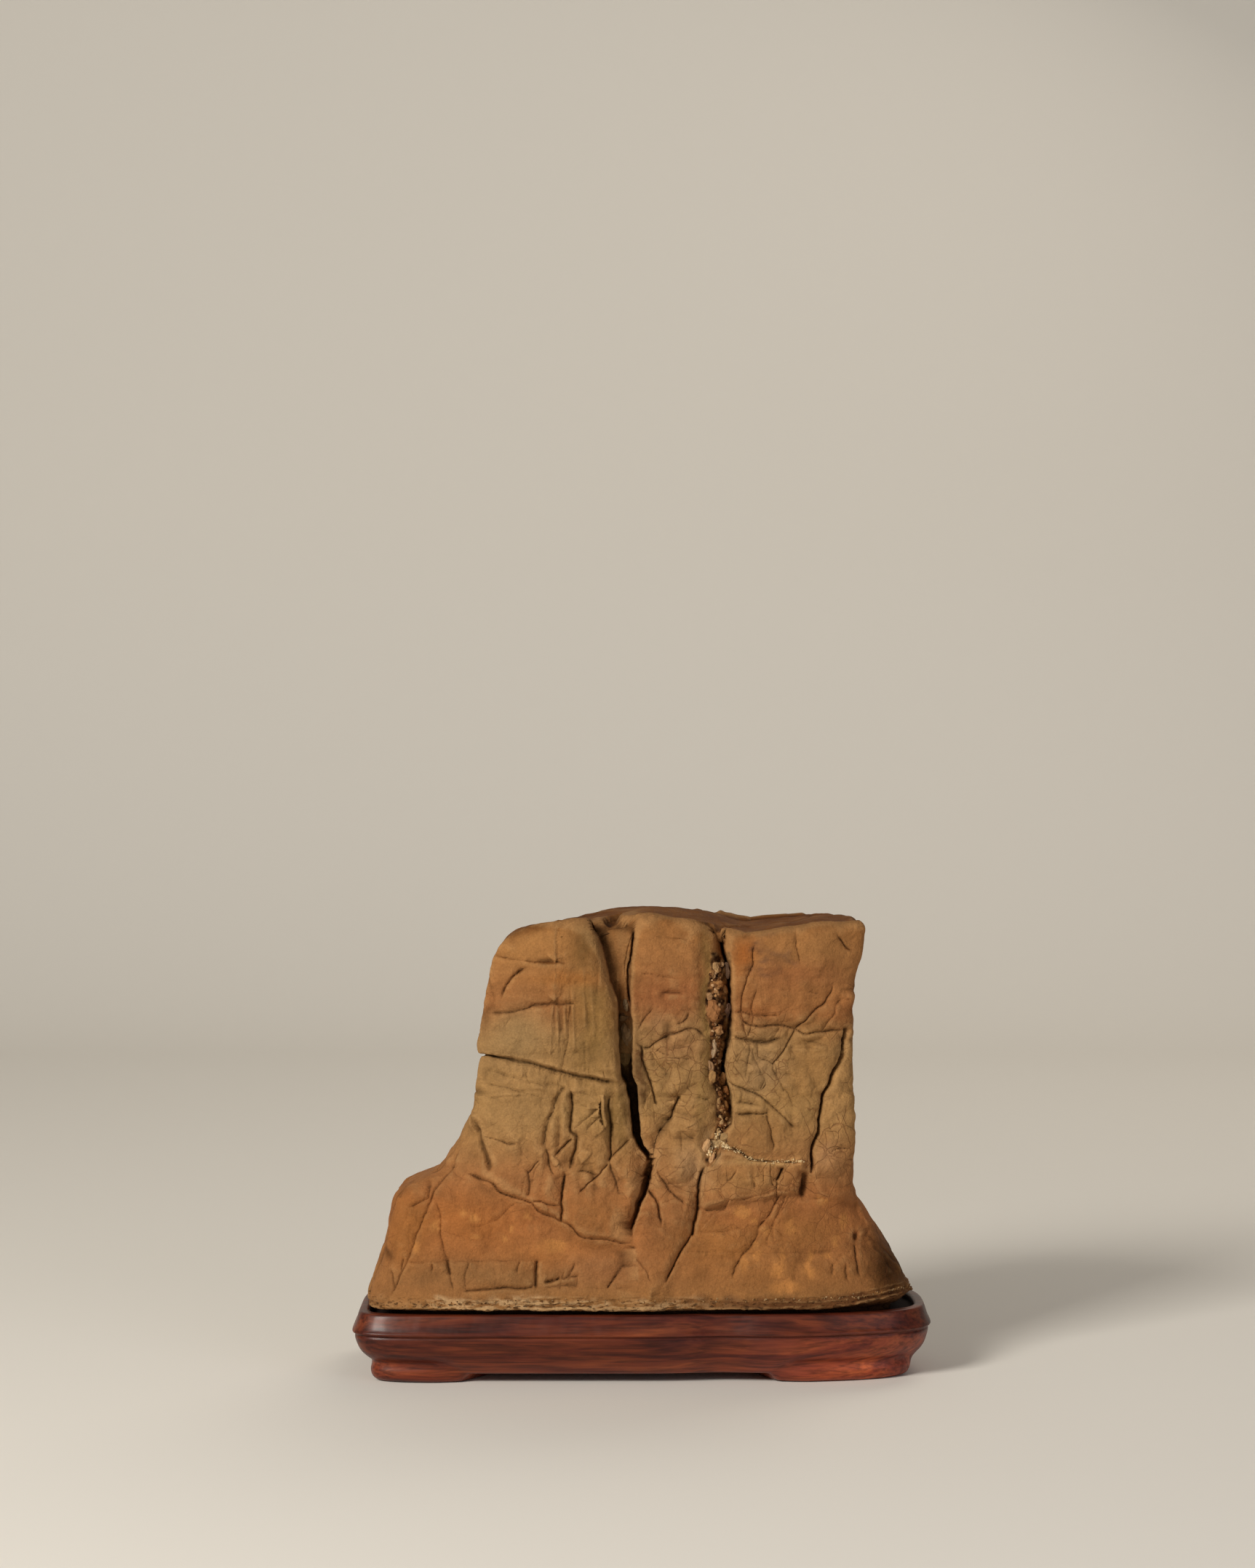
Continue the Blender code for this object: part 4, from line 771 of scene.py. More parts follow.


# Height of the whole relief, each side weighted by how the surface faces it, the
# dirt and painted shade in the cracks of the hidden sides, and the marks of the
# front's lines: how far across them a point lies, and how strong they are there
def stoneRelief(points, facing):
    x, y, z = points.T
    height, crackDirtAndShade = np.zeros(len(points)), np.zeros(len(points))
    marks = np.zeros((len(points), 3))
    px, py = toPicture(points)
    wobble = [latticeNoise(points / 3.1, seed) * 1.3 + latticeNoise(points / 1.0, seed + 9) * 0.6
              for seed in (31, 32)]
    scale = cameraView["pixelsPerMm"]
    charts = {
        "front": (x, z, -facing[:, 1]),
        "back": (x, z, facing[:, 1]),
        "left": (y, z, -facing[:, 0]),
        "right": (y, z, facing[:, 0]),
        "top": (x, y, facing[:, 2]),
    }
    for chart, (a, b, toward) in charts.items():
        weight = smoothStep((toward - 0.25) / 0.45)
        height += weight * blockRelief(chart, a, b, points)
        if chart == "front":
            wide = smoothStep((toward - 0.1) / 0.3)
            carved, across, strength = carveLines((px + wobble[0]) / scale, (py + wobble[1]) / scale,
                                                  frontLines())
            for power, rows in openJoints.values():
                height -= wide * jointDepth(px + wobble[0], py, power, rows)
            for dx, dy, rx, ry, deep in stoneDents.values():
                height -= wide * deep * np.exp(-(((px - dx) / rx) ** 2 + ((py - dy) / ry) ** 2))
            inside, rough = rubbleRelief(px, py, points)
            height += wide * (2.6 * rough - 1.3) * inside
            faint, _ = cellRelief(a, b, points, faintCells)
            height += wide * (faint * smoothStep((py - 1340) / 80) + foldRelief(px, py, points) - carved)
            patchy = 0.35 + 0.65 * smoothStep(0.5 + latticeNoise(points / 4.5, 33))
            thinner = 1.15 + 0.7 * latticeNoise(points / 2.6, 39)
            marks[:, 0], marks[:, 1] = np.clip(across * thinner, -9, 9), wide * strength * patchy
            marks[:, 2] = wide * (0.2 + 0.8 * smoothStep((py - 1340) / 120)) * smoothStep((1760 - py) / 120)
            marks[:, 2] *= 0.35 + 0.65 * smoothStep((px - 850) / 30)
        else:
            plain = 0.25 if chart == "top" else 1.0
            cells, stain = cellRelief(a, b, points, hiddenCells)
            height += weight * cells * plain
            crackDirtAndShade = np.maximum(crackDirtAndShade, weight * stain * plain)
            marks[:, 2] = np.maximum(marks[:, 2], 0.7 * weight * plain)
    for wavelength, swell, seed in stoneForm["undulation"]:
        height += swell * latticeNoise(points / wavelength, seed)
    return height + crustRelief(points), crackDirtAndShade, marks


# Broken layers along the foot, but not at its left end: three thin
# ledges, ragged by noise and gone in places, with a few pits between them
def crustRelief(points):
    z = points[:, 2]
    flat = points * np.array([1, 1, 4.5])
    ragged = 0.6 * latticeNoise(points * np.array([1, 1, 0.2]) / 7.0, 5) + 0.4 * latticeNoise(flat / 2.4, 7)
    height = np.zeros(len(points))
    brokenLayers = ((26.8, 0.5, 0.9), (28.7, 0.35, 0.5), (30.4, 0.3, 0.35))
    for number, (level, half, standOut) in enumerate(brokenLayers):
        there = latticeNoise(points * np.array([1, 1, 0.1]) / 11.0, 44 + number)
        shelf = np.clip(1 - np.abs(z - level - 0.6 * ragged) / half, 0, 1) ** 0.5
        height += standOut * shelf * np.clip(0.5 + ragged + 1.2 * there, 0, 1.3)
    band = smoothStep((31.5 + 1.8 * ragged - z) / 2.5)
    rough = 0.2 * latticeNoise(flat / 1.8, 41) + 0.14 * latticeNoise(flat / 0.9, 42)
    pits = np.minimum(0, latticeNoise(flat / 3.6, 43) + 0.42) * 1.6
    return (height + band * (rough + pits)) * crustShare(points)


# 1 where the foot has its crust, and 0 at the front's left end
def crustShare(points):
    return np.maximum(smoothStep((points[:, 0] + 80) / 14), smoothStep((points[:, 1] - 5) / 20))


# Mean over a square of neighbours: columns wrap round, and the end rows repeat
def blurred(values, reach):
    padded = np.pad(values, ((reach, reach), (0, 0)), mode="edge")
    steps = range(2 * reach + 1)
    rows = sum(padded[i:i + len(values)] for i in steps) / len(steps)
    return sum(np.roll(rows, i - reach, axis=1) for i in steps) / len(steps)


# The moved grid brought back to the stone's measured outline, so that relief
# doesn't widen it: each row by the smoothed difference of its two ends from
# the edge tables, and each place along the top by that from the top line
def keepOutline(moved):
    form = stoneForm
    z = moved[:, :, 2].mean(axis=1)
    rows = np.flatnonzero((z > form["crustZ"] + 1) & (z < form["tableTop"] - 6))
    near = np.ones(15) / 15
    for edge, ends in (("left", moved[rows, :, 0].min(axis=1)), ("right", moved[rows, :, 0].max(axis=1))):
        off = np.convolve(np.pad(profileAt(z[rows], form[edge]) - ends, 7, mode="edge"), near, mode="valid")
        middle = (profileAt(moved[:, :, 2], form["left"]) + profileAt(moved[:, :, 2], form["right"])) / 2
        reach = np.abs(profileAt(moved[:, :, 2], form[edge]) - middle)
        sign = -1 if edge == "left" else 1
        share = np.clip(sign * (moved[:, :, 0] - middle) / reach, 0, 1) ** 2
        moved[:, :, 0] += share * np.interp(moved[:, :, 2], z[rows], off)
    px, py = toPicture(moved.reshape(-1, 3))
    columns = np.arange(690, 1184, 6)
    highest = np.array([py[np.abs(px - x) < 4].min() for x in columns])
    rise = (highest - np.interp(columns, *np.array(form["topLine"]).T)) / cameraView["pixelsPerMm"]
    rise = np.convolve(np.pad(rise, 2, mode="edge"), np.ones(5) / 5, mode="valid")
    lifted = np.interp(px, columns, rise) * smoothStep((moved[:, :, 2].ravel() - 138) / 18)
    moved[:, :, 2] += lifted.reshape(moved.shape[:2])
    return moved


# The stone as rows of a closed grid: its plan carried up through the levels, then moved out by the relief;
# with the dirt and painted shade and the marks of its cracks, and how much each point stands proud of its
# neighbours
def stoneSurface():
    theta = evenAngles(stoneForm["columns"], lambda angle: stonePlan(angle, np.full(angle.shape, 70.0)))
    levels = stoneLevels()
    z = np.repeat(levels[:, :1], len(theta), axis=1)
    x, y = stonePlan(np.broadcast_to(theta, z.shape), z, levels[:, 2:])
    middle = (profileAt(z, stoneForm["left"]) + profileAt(z, stoneForm["right"])) / 2
    grid = np.stack([middle + (x - middle) * levels[:, 1:2], y * levels[:, 1:2], z], axis=2)
    points, facing = grid.reshape(-1, 3), gridNormals(grid).reshape(-1, 3)
    height, crackDirtAndShade, marks = stoneRelief(points, facing)
    height = height * smoothStep((points[:, 2] - 25.0) / 1.4)
    moved = points + facing * height[:, None]
    moved[:, 2] = np.where(points[:, 2] < 25.0, points[:, 2], np.maximum(moved[:, 2], 24.7))
    lift = stoneForm["endLift"] * smoothStep((points[:, 0] - 62) / 30) * smoothStep((44 - points[:, 2]) / 18)
    moved[:, 2] += lift * smoothStep((points[:, 2] - 25.2) / 0.8)
    proud = height.reshape(grid.shape[:2])
    proud = proud - blurred(proud, 5)
    moved = keepOutline(moved.reshape(grid.shape))
    return moved, crackDirtAndShade.reshape(grid.shape[:2]), marks.reshape(grid.shape), proud


# A mesh from rows that close along their columns, whose first and last rows are single points
def gridMesh(name, grid):
    rows, columns = grid.shape[:2]
    vertices = np.vstack([grid[0, :1], grid[1:-1].reshape(-1, 3), grid[-1, :1]]) * mm
    ring = 1 + np.arange((rows - 2) * columns).reshape(rows - 2, columns)
    right = np.roll(ring, -1, axis=1)
    quads = np.stack([ring[:-1], right[:-1], right[1:], ring[1:]], axis=2).reshape(-1, 4)
    floor = np.stack([right[0], ring[0], np.zeros(columns, int)], axis=1)
    roof = np.stack([ring[-1], right[-1], np.full(columns, len(vertices) - 1)], axis=1)
    corners = np.concatenate([quads.ravel(), floor.ravel(), roof.ravel()])
    sizes = np.concatenate([np.full(len(quads), 4), np.full(2 * columns, 3)])
    mesh = bpy.data.meshes.new(name)
    mesh.vertices.add(len(vertices))
    mesh.vertices.foreach_set("co", vertices.astype(np.float32).ravel())
    mesh.loops.add(len(corners))
    mesh.loops.foreach_set("vertex_index", corners.astype(np.int32))
    mesh.polygons.add(len(sizes))
    mesh.polygons.foreach_set("loop_start", np.concatenate([[0], np.cumsum(sizes)[:-1]]).astype(np.int32))
    mesh.update(calc_edges=True)
    mesh.shade_smooth()
    return place(name, mesh)


# An object for a mesh, in the scene, at the origin
def place(name, mesh):
    piece = bpy.data.objects.new(name, mesh)
    bpy.context.scene.collection.objects.link(piece)
    return piece


# Values of a grid's points in the order of gridMesh: the first and last rows count once
def polesOnce(values):
    return np.concatenate([values[0, :1], values[1:-1].reshape(-1, *values.shape[2:]), values[-1, :1]])


# Three values for each point, kept as a colour attribute that a material can read
def storeColours(mesh, name, colours):
    layer = mesh.color_attributes.new(name=name, type="FLOAT_COLOR", domain="POINT")
    withAlpha = np.hstack([colours, np.ones((len(colours), 1))])
    layer.data.foreach_set("color", withAlpha.astype(np.float32).ravel())


# Fewer triangles, joined where the surface is flattest, so that the cracks keep theirs
def thinOut(piece, triangles):
    mesh = piece.data
    corners = np.zeros(len(mesh.polygons), np.int32)
    mesh.polygons.foreach_get("loop_total", corners)
    modifier = piece.modifiers.new("thinOut", "DECIMATE")
    modifier.ratio = triangles / int((corners - 2).sum())
    modifier.use_collapse_triangulate = True
    evaluated = piece.evaluated_get(bpy.context.evaluated_depsgraph_get())
    thin = bpy.data.meshes.new_from_object(evaluated, preserve_all_data_layers=True,
                                           depsgraph=bpy.context.evaluated_depsgraph_get())
    piece.modifiers.remove(modifier)
    piece.data = thin
    bpy.data.meshes.remove(mesh)
    thin.name = piece.name


# Colour of the stone by place: pixel, half width and half height in pixels, strength, colour
stoneTints = {
    "byHeight": [(26, "#8C6238"), (36, "#94643A"), (58, "#9A6238"), (72, "#98683E"), (95, "#9A7648"),
                 (118, "#947046"), (130, "#905C34"), (140, "#9A6A3E"), (158, "#946438")],
    "patches": [
        (740, 1295, 75, 30, 0.9, "#9F7040"), (815, 1400, 34, 80, 0.9, "#846438"),
        (790, 1347, 60, 13, 0.8, "#956030"), (712, 1425, 46, 42, 0.9, "#98784E"),
        (705, 1530, 60, 60, 0.9, "#9E794C"), (855, 1540, 20, 60, 0.8, "#7E6036"),
        (805, 1590, 34, 30, 0.8, "#966E42"), (700, 1630, 70, 24, 0.8, "#9B693F"),
        (815, 1672, 54, 36, 0.9, "#926136"), (838, 1310, 24, 60, 0.9, "#7A5430"),
        (862, 1310, 7, 40, 0.8, "#8E6840"), (905, 1277, 40, 14, 0.8, "#906136"),
        (905, 1320, 42, 24, 0.9, "#9A693D"), (915, 1372, 44, 34, 0.9, "#8F5B36"),
        (930, 1440, 36, 30, 0.9, "#986E46"), (942, 1560, 40, 60, 0.9, "#9A7347"),
        (928, 1682, 42, 40, 0.9, "#8A5D37"), (969, 1390, 9, 150, 0.85, "#86683A"),
        (1019, 1310, 20, 26, 0.9, "#A05F2D"), (1120, 1300, 50, 34, 0.9, "#96693D"),
        (1095, 1345, 64, 15, 0.9, "#8E5B35"), (1048, 1460, 40, 40, 0.8, "#8E6C44"),
        (1112, 1460, 40, 60, 0.8, "#976F41"), (1035, 1560, 32, 26, 0.8, "#91683D"),
        (1150, 1520, 20, 60, 0.8, "#9B7242"), (1145, 1590, 20, 40, 0.8, "#91663D"),
        (1035, 1620, 60, 22, 0.9, "#9B7042"), (645, 1680, 90, 46, 1.0, "#9A6032"),
        (765, 1722, 80, 20, 0.9, "#9E6637"), (560, 1690, 30, 60, 0.8, "#915D2F"),
        (680, 1757, 170, 20, 0.9, "#896039"), (830, 1745, 60, 26, 0.9, "#95643D"),
        (1000, 1710, 80, 34, 0.9, "#996536"), (1100, 1690, 50, 34, 0.8, "#905F33"),
        # the dark patch at (1222, 1745) is painted shadow on the stone's lower right corner
        (1060, 1756, 100, 24, 0.8, "#966437"), (1222, 1745, 38, 60, 1.0, "#40260F"),
        # the dark patch at (872, 1488) is painted shade on the middle column's shadowed left edge
        (802, 1292, 17, 34, 1.0, "#6A4B28"), (872, 1488, 9, 60, 0.9, "#523820"),
        (1145, 1592, 16, 24, 0.8, "#B4865A"), (905, 1400, 12, 12, 0.5, "#A07850"),
        (1045, 1592, 62, 5, 0.6, "#B8925E"), (978, 1576, 12, 16, 0.8, "#C8A476"),
        (945, 1600, 22, 26, 0.7, "#AA845C"), (1152, 1520, 18, 50, 0.6, "#B48A58"),
        (1045, 1465, 30, 34, 0.5, "#A4825A"),
    ],
    "spots": [
        (1051, 1694, 6, 6), (1087, 1687, 7, 11), (1043, 1727, 6, 7), (1075, 1727, 5, 9), (1111, 1731, 5, 9),
        (1135, 1726, 5, 6), (1021, 1737, 6, 10), (1037, 1711, 7, 5), (1035, 1682, 7, 4), (1020, 1668, 12, 9),
        (1068, 1746, 8, 13), (1113, 1748, 7, 11), (1080, 1770, 22, 8), (652, 1701, 5, 5), (703, 1690, 5, 5),
        (694, 1702, 5, 5), (652, 1676, 4, 7), (637, 1668, 7, 4), (1130, 1652, 9, 5), (1148, 1705, 5, 7),
        (598, 1686, 8, 6), (571, 1716, 5, 8), (725, 1672, 7, 6), (1160, 1680, 4, 14), (760, 1712, 18, 8),
    ],
    "spotColour": "#B47A42",
    "stains": [
        (1.3, [(1036, 1304), (1050, 1307), (1064, 1313), (1082, 1313)]),
        (1.0, [(1040, 1296), (1044, 1288), (1052, 1285), (1062, 1284)]),
        (1.2, [(1034, 1330), (1046, 1336), (1062, 1338), (1072, 1330)]),
        (1.0, [(1046, 1322), (1064, 1322), (1086, 1322), (1094, 1322)]),
    ],
    "stainColour": "#5C4234",
    # dark of the cracks: the dirt in them, also laid as painted shade in hollows
    "crack": "#2C190C",
    "wornAndHighlight": "#B48C5C",
    "crustPale": "#BC9A70",
    "crustBrown": "#5E3A20",
    "crustDarkAndShade": "#4E3220",
    "hidden": "#8C6440",
    "topShadeAndStain": "#5E3412",
    "rubblePale": "#94683E",
    "rubbleDarkAndShade": "#2E190E",
}


# Colour of each point: by height, then soft patches by picture place, two of them painted shade, spots,
# stains, a top darkened by stain and painted shade, crust, rubble, painted shade in hollows and under the
# stone, a painted highlight on raised points, and dirt and painted shade in cracks
def stoneColours(points, facing, crackDirtAndShade, proud):
    tints = stoneTints
    px, py = toPicture(points)
    broadX = px + 11 * latticeNoise(points / 11, 51) + 4 * latticeNoise(points / 4, 52)
    broadY = py + 11 * latticeNoise(points / 11, 53) + 4 * latticeNoise(points / 4, 54)
    heights, codes = zip(*tints["byHeight"])
    warped = points[:, 2] + 5 * latticeNoise(points / 16, 50)
    channels = np.array([linear(c) for c in codes]).T
    colour = np.stack([np.interp(warped, heights, channel) for channel in channels], 1)

    def lay(share, code):
        colour[:] = colour + np.clip(share, 0, 1)[:, None] * (linear(code) - colour)

    front = smoothStep((0.3 - facing[:, 1]) / 0.4)
    lay(0.55 * (1 - front), tints["hidden"])
    for x, y, rx, ry, strength, code in tints["patches"]:
        lay(front * strength * np.exp(-(((broadX - x) / rx) ** 2 + ((broadY - y) / ry) ** 2) ** 1.2), code)
    sharpX = px + 5 * latticeNoise(points / 2, 55)
    sharpY = py + 5 * latticeNoise(points / 2, 56)
    for x, y, rx, ry in tints["spots"]:
        lay(front * 0.8 * np.exp(-(((sharpX - x) / rx) ** 2 + ((sharpY - y) / ry) ** 2) ** 3),
            tints["spotColour"])
    scale = cameraView["pixelsPerMm"]
    for width, line in tints["stains"]:
        away = nearLine(sharpX / scale, sharpY / scale, smoothLine(np.array(line) / scale))[0]
        broken = 0.55 + 0.45 * latticeNoise(points / 1.6, 57)
        lay(front * 0.7 * broken * np.exp(-((away / width) ** 2)), tints["stainColour"])
    patchy = 0.78 + 0.2 * latticeNoise(points / 9, 60)
    # the top darkened: partly its own stain, partly painted shade where the light hardly reaches it
    lay(patchy * smoothStep((facing[:, 2] - 0.3) / 0.45) * (points[:, 2] > 140), tints["topShadeAndStain"])
    z, ragged = points[:, 2], latticeNoise(points * np.array([1, 1, 4]) / 2.4, 58)
    band = smoothStep((31.0 + 2.0 * latticeNoise(points / 5, 59) - z) / 2.5)
    darker = smoothStep((points[:, 0] + 10) / 60)
    band = band * (0.25 + 0.75 * crustShare(points))
    lay(band * smoothStep(ragged * 1.6 + 0.5 + 1.5 * proud) * (0.75 - 0.65 * darker), tints["crustPale"])
    lay(band * darker * 0.9, tints["crustBrown"])
    # crust darker in its hollows: partly its own colour, partly painted shade
    lay(band * smoothStep(-ragged * 2.0 - 0.7 - 2 * proud) * 0.5, tints["crustDarkAndShade"])
    # the underside below the crust painted dark as the shade beneath the stone
    lay(smoothStep((26.2 - z) / 0.8) * 0.9, tints["crustDarkAndShade"])
    inside, rough = rubbleRelief(px, py, points)
    lay(front * inside, tints["rubblePale"])
    # low spots among the broken pieces darker: their own darker brown, and painted shade between them
    lay(front * inside * smoothStep((0.6 - rough) / 0.22), tints["rubbleDarkAndShade"])
    # raised points paler: partly wear and dust, partly painted highlight; lower points darker: painted shade
    # in hollows
    lay(0.35 * smoothStep(proud / 0.5), tints["wornAndHighlight"])
    lay(0.5 * smoothStep(-proud / 0.9), tints["crack"])
    # cracks of the hidden sides darker: dirt in them, and painted shade
    lay(0.8 * crackDirtAndShade, tints["crack"])
    return colour


# The dark bottom of a line, partly dirt and partly painted shade: its strength
# times e to the minus square of the half widths across it
def lineBottom(tree, across, strength):
    square = addNode(tree, "ShaderNodeMath", {0: across, 1: across}, operation="MULTIPLY")
    minus = addNode(tree, "ShaderNodeMath", {0: square.outputs[0], 1: -1.0}, operation="MULTIPLY")
    bell = addNode(tree, "ShaderNodeMath", {0: minus.outputs[0]}, operation="EXPONENT")
    return addNode(tree, "ShaderNodeMath", {0: bell.outputs[0], 1: strength}, operation="MULTIPLY").outputs[0]


# Hairline cracks: the borders of irregular cells of 14 mm
# and 6 mm, bent by noise and broken into short stretches
def hairlines(tree, where, share):
    bend = addNode(tree, "ShaderNodeTexNoise", {"Vector": where, "Scale": 140.0, "Detail": 3.0})
    bent = addNode(tree, "ShaderNodeVectorMath", {0: bend.outputs["Color"], 1: (0.0035, 0.0035, 0.0035),
                                                  2: where},
                   operation="MULTIPLY_ADD")
    total = None
    for scale, width, patch in ((70.0, 0.016, 60.0), (170.0, 0.03, 45.0)):
        cells = addNode(tree, "ShaderNodeTexVoronoi", {"Vector": bent.outputs["Vector"], "Scale": scale},
                        feature="DISTANCE_TO_EDGE")
        border = addNode(tree, "ShaderNodeMapRange", {"Value": cells.outputs["Distance"], "From Min": 0.0,
                                                      "From Max": width, "To Min": 1.0, "To Max": 0.0})
        patches = addNode(tree, "ShaderNodeTexNoise", {"Vector": where, "Scale": patch, "Detail": 2.0})
        kept = addNode(tree, "ShaderNodeMapRange", {"Value": patches.outputs["Fac"], "From Min": 0.43,
                                                    "From Max": 0.58, "To Min": 0.0, "To Max": 1.0})
        one = addNode(tree, "ShaderNodeMath", {0: border.outputs["Result"], 1: kept.outputs["Result"]},
                      operation="MULTIPLY").outputs[0]
        if total is not None:
            one = addNode(tree, "ShaderNodeMath", {0: one, 1: total}, operation="MAXIMUM").outputs[0]
        total = one
    return addNode(tree, "ShaderNodeMath", {0: total, 1: share}, operation="MULTIPLY").outputs[0]


# Weathered sandstone, waxed by handling: matt, fine grained, iron-stained, with dust, dirt and painted
# shade in its cracks and hollows
def stoneMaterial():
    material = bpy.data.materials.new("weatheredIronSandstone")
    material.use_nodes = True
    tree = material.node_tree
    shader = tree.nodes["Principled BSDF"]
    where = addNode(tree, "ShaderNodeTexCoord").outputs["Object"]
    tint = addNode(tree, "ShaderNodeAttribute", attribute_name="tint").outputs["Color"]
    mottle = addNode(tree, "ShaderNodeTexNoise", {"Vector": where, "Scale": 150.0, "Detail": 8.0,
                                                  "Roughness": 0.62})
    grain = addNode(tree, "ShaderNodeTexNoise", {"Vector": where, "Scale": 1500.0, "Detail": 4.0,
                                                 "Roughness": 0.65})
    shade = addNode(tree, "ShaderNodeMapRange", {"Value": mottle.outputs["Fac"], "From Min": 0.3,
                                                 "From Max": 0.7, "To Min": 0.82, "To Max": 1.18})
    speck = addNode(tree, "ShaderNodeMapRange", {"Value": grain.outputs["Fac"], "From Min": 0.25,
                                                 "From Max": 0.75, "To Min": 0.82, "To Max": 1.18})
    both = addNode(tree, "ShaderNodeMath", {0: shade.outputs["Result"], 1: speck.outputs["Result"]},
                   operation="MULTIPLY")
    toned = addNode(tree, "ShaderNodeVectorMath", {0: tint, "Scale": both.outputs[0]}, operation="SCALE")
    marks = addNode(tree, "ShaderNodeSeparateXYZ",
                    {0: addNode(tree, "ShaderNodeAttribute", attribute_name="marks").outputs["Vector"]})
    line = lineBottom(tree, marks.outputs[0], marks.outputs[1])
    web = hairlines(tree, where, marks.outputs[2])
    webbed = addNode(tree, "ShaderNodeMix", {0: addNode(tree, "ShaderNodeMath", {0: web, 1: 0.5},
                                                        operation="MULTIPLY").outputs[0],
                                             6: toned.outputs["Vector"], 7: paint("#6A3E24")},
                                             data_type="RGBA")
    # dark line bottoms: partly dirt, partly painted shade in the cracks
    lined = addNode(tree, "ShaderNodeMix", {0: line, 6: webbed.outputs[2], 7: paint("#341D10")},
                    data_type="RGBA")
    foot = addNode(tree, "ShaderNodeMapRange",
                   {"Value": addNode(tree, "ShaderNodeSeparateXYZ", {0: where}).outputs[2],
                    "From Min": 0.028, "From Max": 0.031, "To Min": 0.7, "To Max": 0.0})
    flat = addNode(tree, "ShaderNodeMapping", {"Vector": where, "Scale": (1.0, 1.0, 2.6)})
    holes = addNode(tree, "ShaderNodeTexNoise", {"Vector": flat.outputs["Vector"], "Scale": 520.0,
                                                 "Detail": 5.0})
    holed = addNode(tree, "ShaderNodeMapRange",
                    {"Value": holes.outputs["Fac"], "From Min": 0.56, "From Max": 0.64})
    pits = addNode(tree, "ShaderNodeMath", {0: foot.outputs["Result"], 1: holed.outputs["Result"]},
                   operation="MULTIPLY").outputs[0]
    pitted = addNode(tree, "ShaderNodeMix", {0: pits, 6: lined.outputs[2], 7: paint("#2E1A0E")},
                     data_type="RGBA")
    tree.links.new(pitted.outputs[2], shader.inputs["Base Color"])
    rough = addNode(tree, "ShaderNodeMapRange", {"Value": mottle.outputs["Fac"], "To Min": 0.62,
                                                 "To Max": 0.86})
    tree.links.new(rough.outputs["Result"], shader.inputs["Roughness"])
    low = addNode(tree, "ShaderNodeTexNoise", {"Vector": where, "Scale": 420.0, "Detail": 6.0,
                                               "Roughness": 0.6})
    bump = addNode(tree, "ShaderNodeBump", {"Height": low.outputs["Fac"], "Strength": 0.75,
                                            "Distance": 0.0011})
    fine = addNode(tree, "ShaderNodeBump", {"Height": grain.outputs["Fac"], "Strength": 0.5,
                                            "Distance": 0.0003, "Normal": bump.outputs["Normal"]})
    lower = addNode(tree, "ShaderNodeMath", {0: pits, 1: line}, operation="MAXIMUM")
    deep = addNode(tree, "ShaderNodeMath", {0: web, 1: 0.5, 2: lower.outputs[0]}, operation="MULTIPLY_ADD")
    cut = addNode(tree, "ShaderNodeBump", {"Height": deep.outputs[0], "Strength": 0.7, "Distance": 0.0005,
                                           "Normal": fine.outputs["Normal"]}, invert=True)
    tree.links.new(cut.outputs["Normal"], shader.inputs["Normal"])
    shader.inputs["Specular IOR Level"].default_value = 0.06
    return material


def makeStone(material):
    grid, crackDirtAndShade, marks, proud = stoneSurface()
    print("stone worked out:", grid.shape[:2])
    stone = gridMesh("scholarStone", grid)
    points, facing = polesOnce(grid), polesOnce(gridNormals(grid))
    storeColours(stone.data, "tint", stoneColours(points, facing, polesOnce(crackDirtAndShade), polesOnce(proud)))
    storeColours(stone.data, "marks", polesOnce(marks))
    stone.data.materials.append(material)
    thinOut(stone, stoneForm["triangles"])
    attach(stone, "root")
    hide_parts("stone")
    print("stone carved:", len(stone.data.polygons), "triangles")
    return points, facing


# Loose pieces wedged in the front's open joints: pixel,
# half width and half height in mm, lean in degrees, colour
wedgedPieces = {
    "lump": (979, 1390, 2.6, 3.2, 10, "#A06E44"),
    "lumpCap": (975, 1369, 1.2, 1.3, 0, "#A07A54"),
    "headLeft": (984, 1332, 1.2, 1.8, 0, "#B08A5E"),
    "headRight": (999, 1333, 1.4, 2.3, 5, "#6E5644"),
    "upper": (986, 1352, 1.8, 1.6, 30, "#94683E"),
    "upperRight": (995, 1360, 1.0, 1.8, 10, "#A87C50"),
    "greyRight": (999, 1387, 1.4, 2.6, 0, "#6A5040"),
    "belowLump": (987, 1417, 2.0, 1.7, 20, "#A47A50"),
    "whiteSliver": (981, 1441, 0.9, 2.8, -8, "#B09474"),
    "neck": (989, 1447, 0.9, 2.2, 5, "#7C5430"),
    "leftSliver": (976, 1466, 1.0, 2.2, 12, "#A07C58"),
    "leftLow": (977, 1481, 1.3, 2.0, -10, "#A98050"),
    "pillarHigh": (992, 1485, 1.3, 2.3, -12, "#A87A4C"),
    "pillarLow": (997, 1500, 1.5, 1.4, 0, "#A06C40"),
    "sliverLow": (987, 1516, 0.8, 2.3, -8, "#A88256"),
    "rightLow": (997, 1521, 1.1, 2.2, 10, "#8E6238"),
    "tail": (990, 1541, 1.0, 2.0, 12, "#B08E62"),
    "tailRight": (1001, 1546, 0.9, 1.4, -30, "#9C7C54"),
    "crystalLong": (969, 1580, 1.2, 3.4, -22, "#C49A6C"),
    "crystalShort": (978, 1594, 0.9, 2.2, -18, "#BC9064"),
    "crystalBed": (985, 1571, 2.6, 1.7, -30, "#B4956A"),
    "crystalRight": (996, 1563, 1.6, 1.2, 20, "#9E7E54"),
    "gapCrystal": (860, 1383, 0.9, 1.9, 5, "#8E7658"),
    "gapUpper": (858, 1399, 1.7, 1.5, 0, "#7C6244"),
    "gapMiddle": (861, 1420, 1.7, 3.2, 8, "#8E7454"),
    "gapLow": (860, 1450, 1.8, 3.3, 0, "#8A7048"),
}

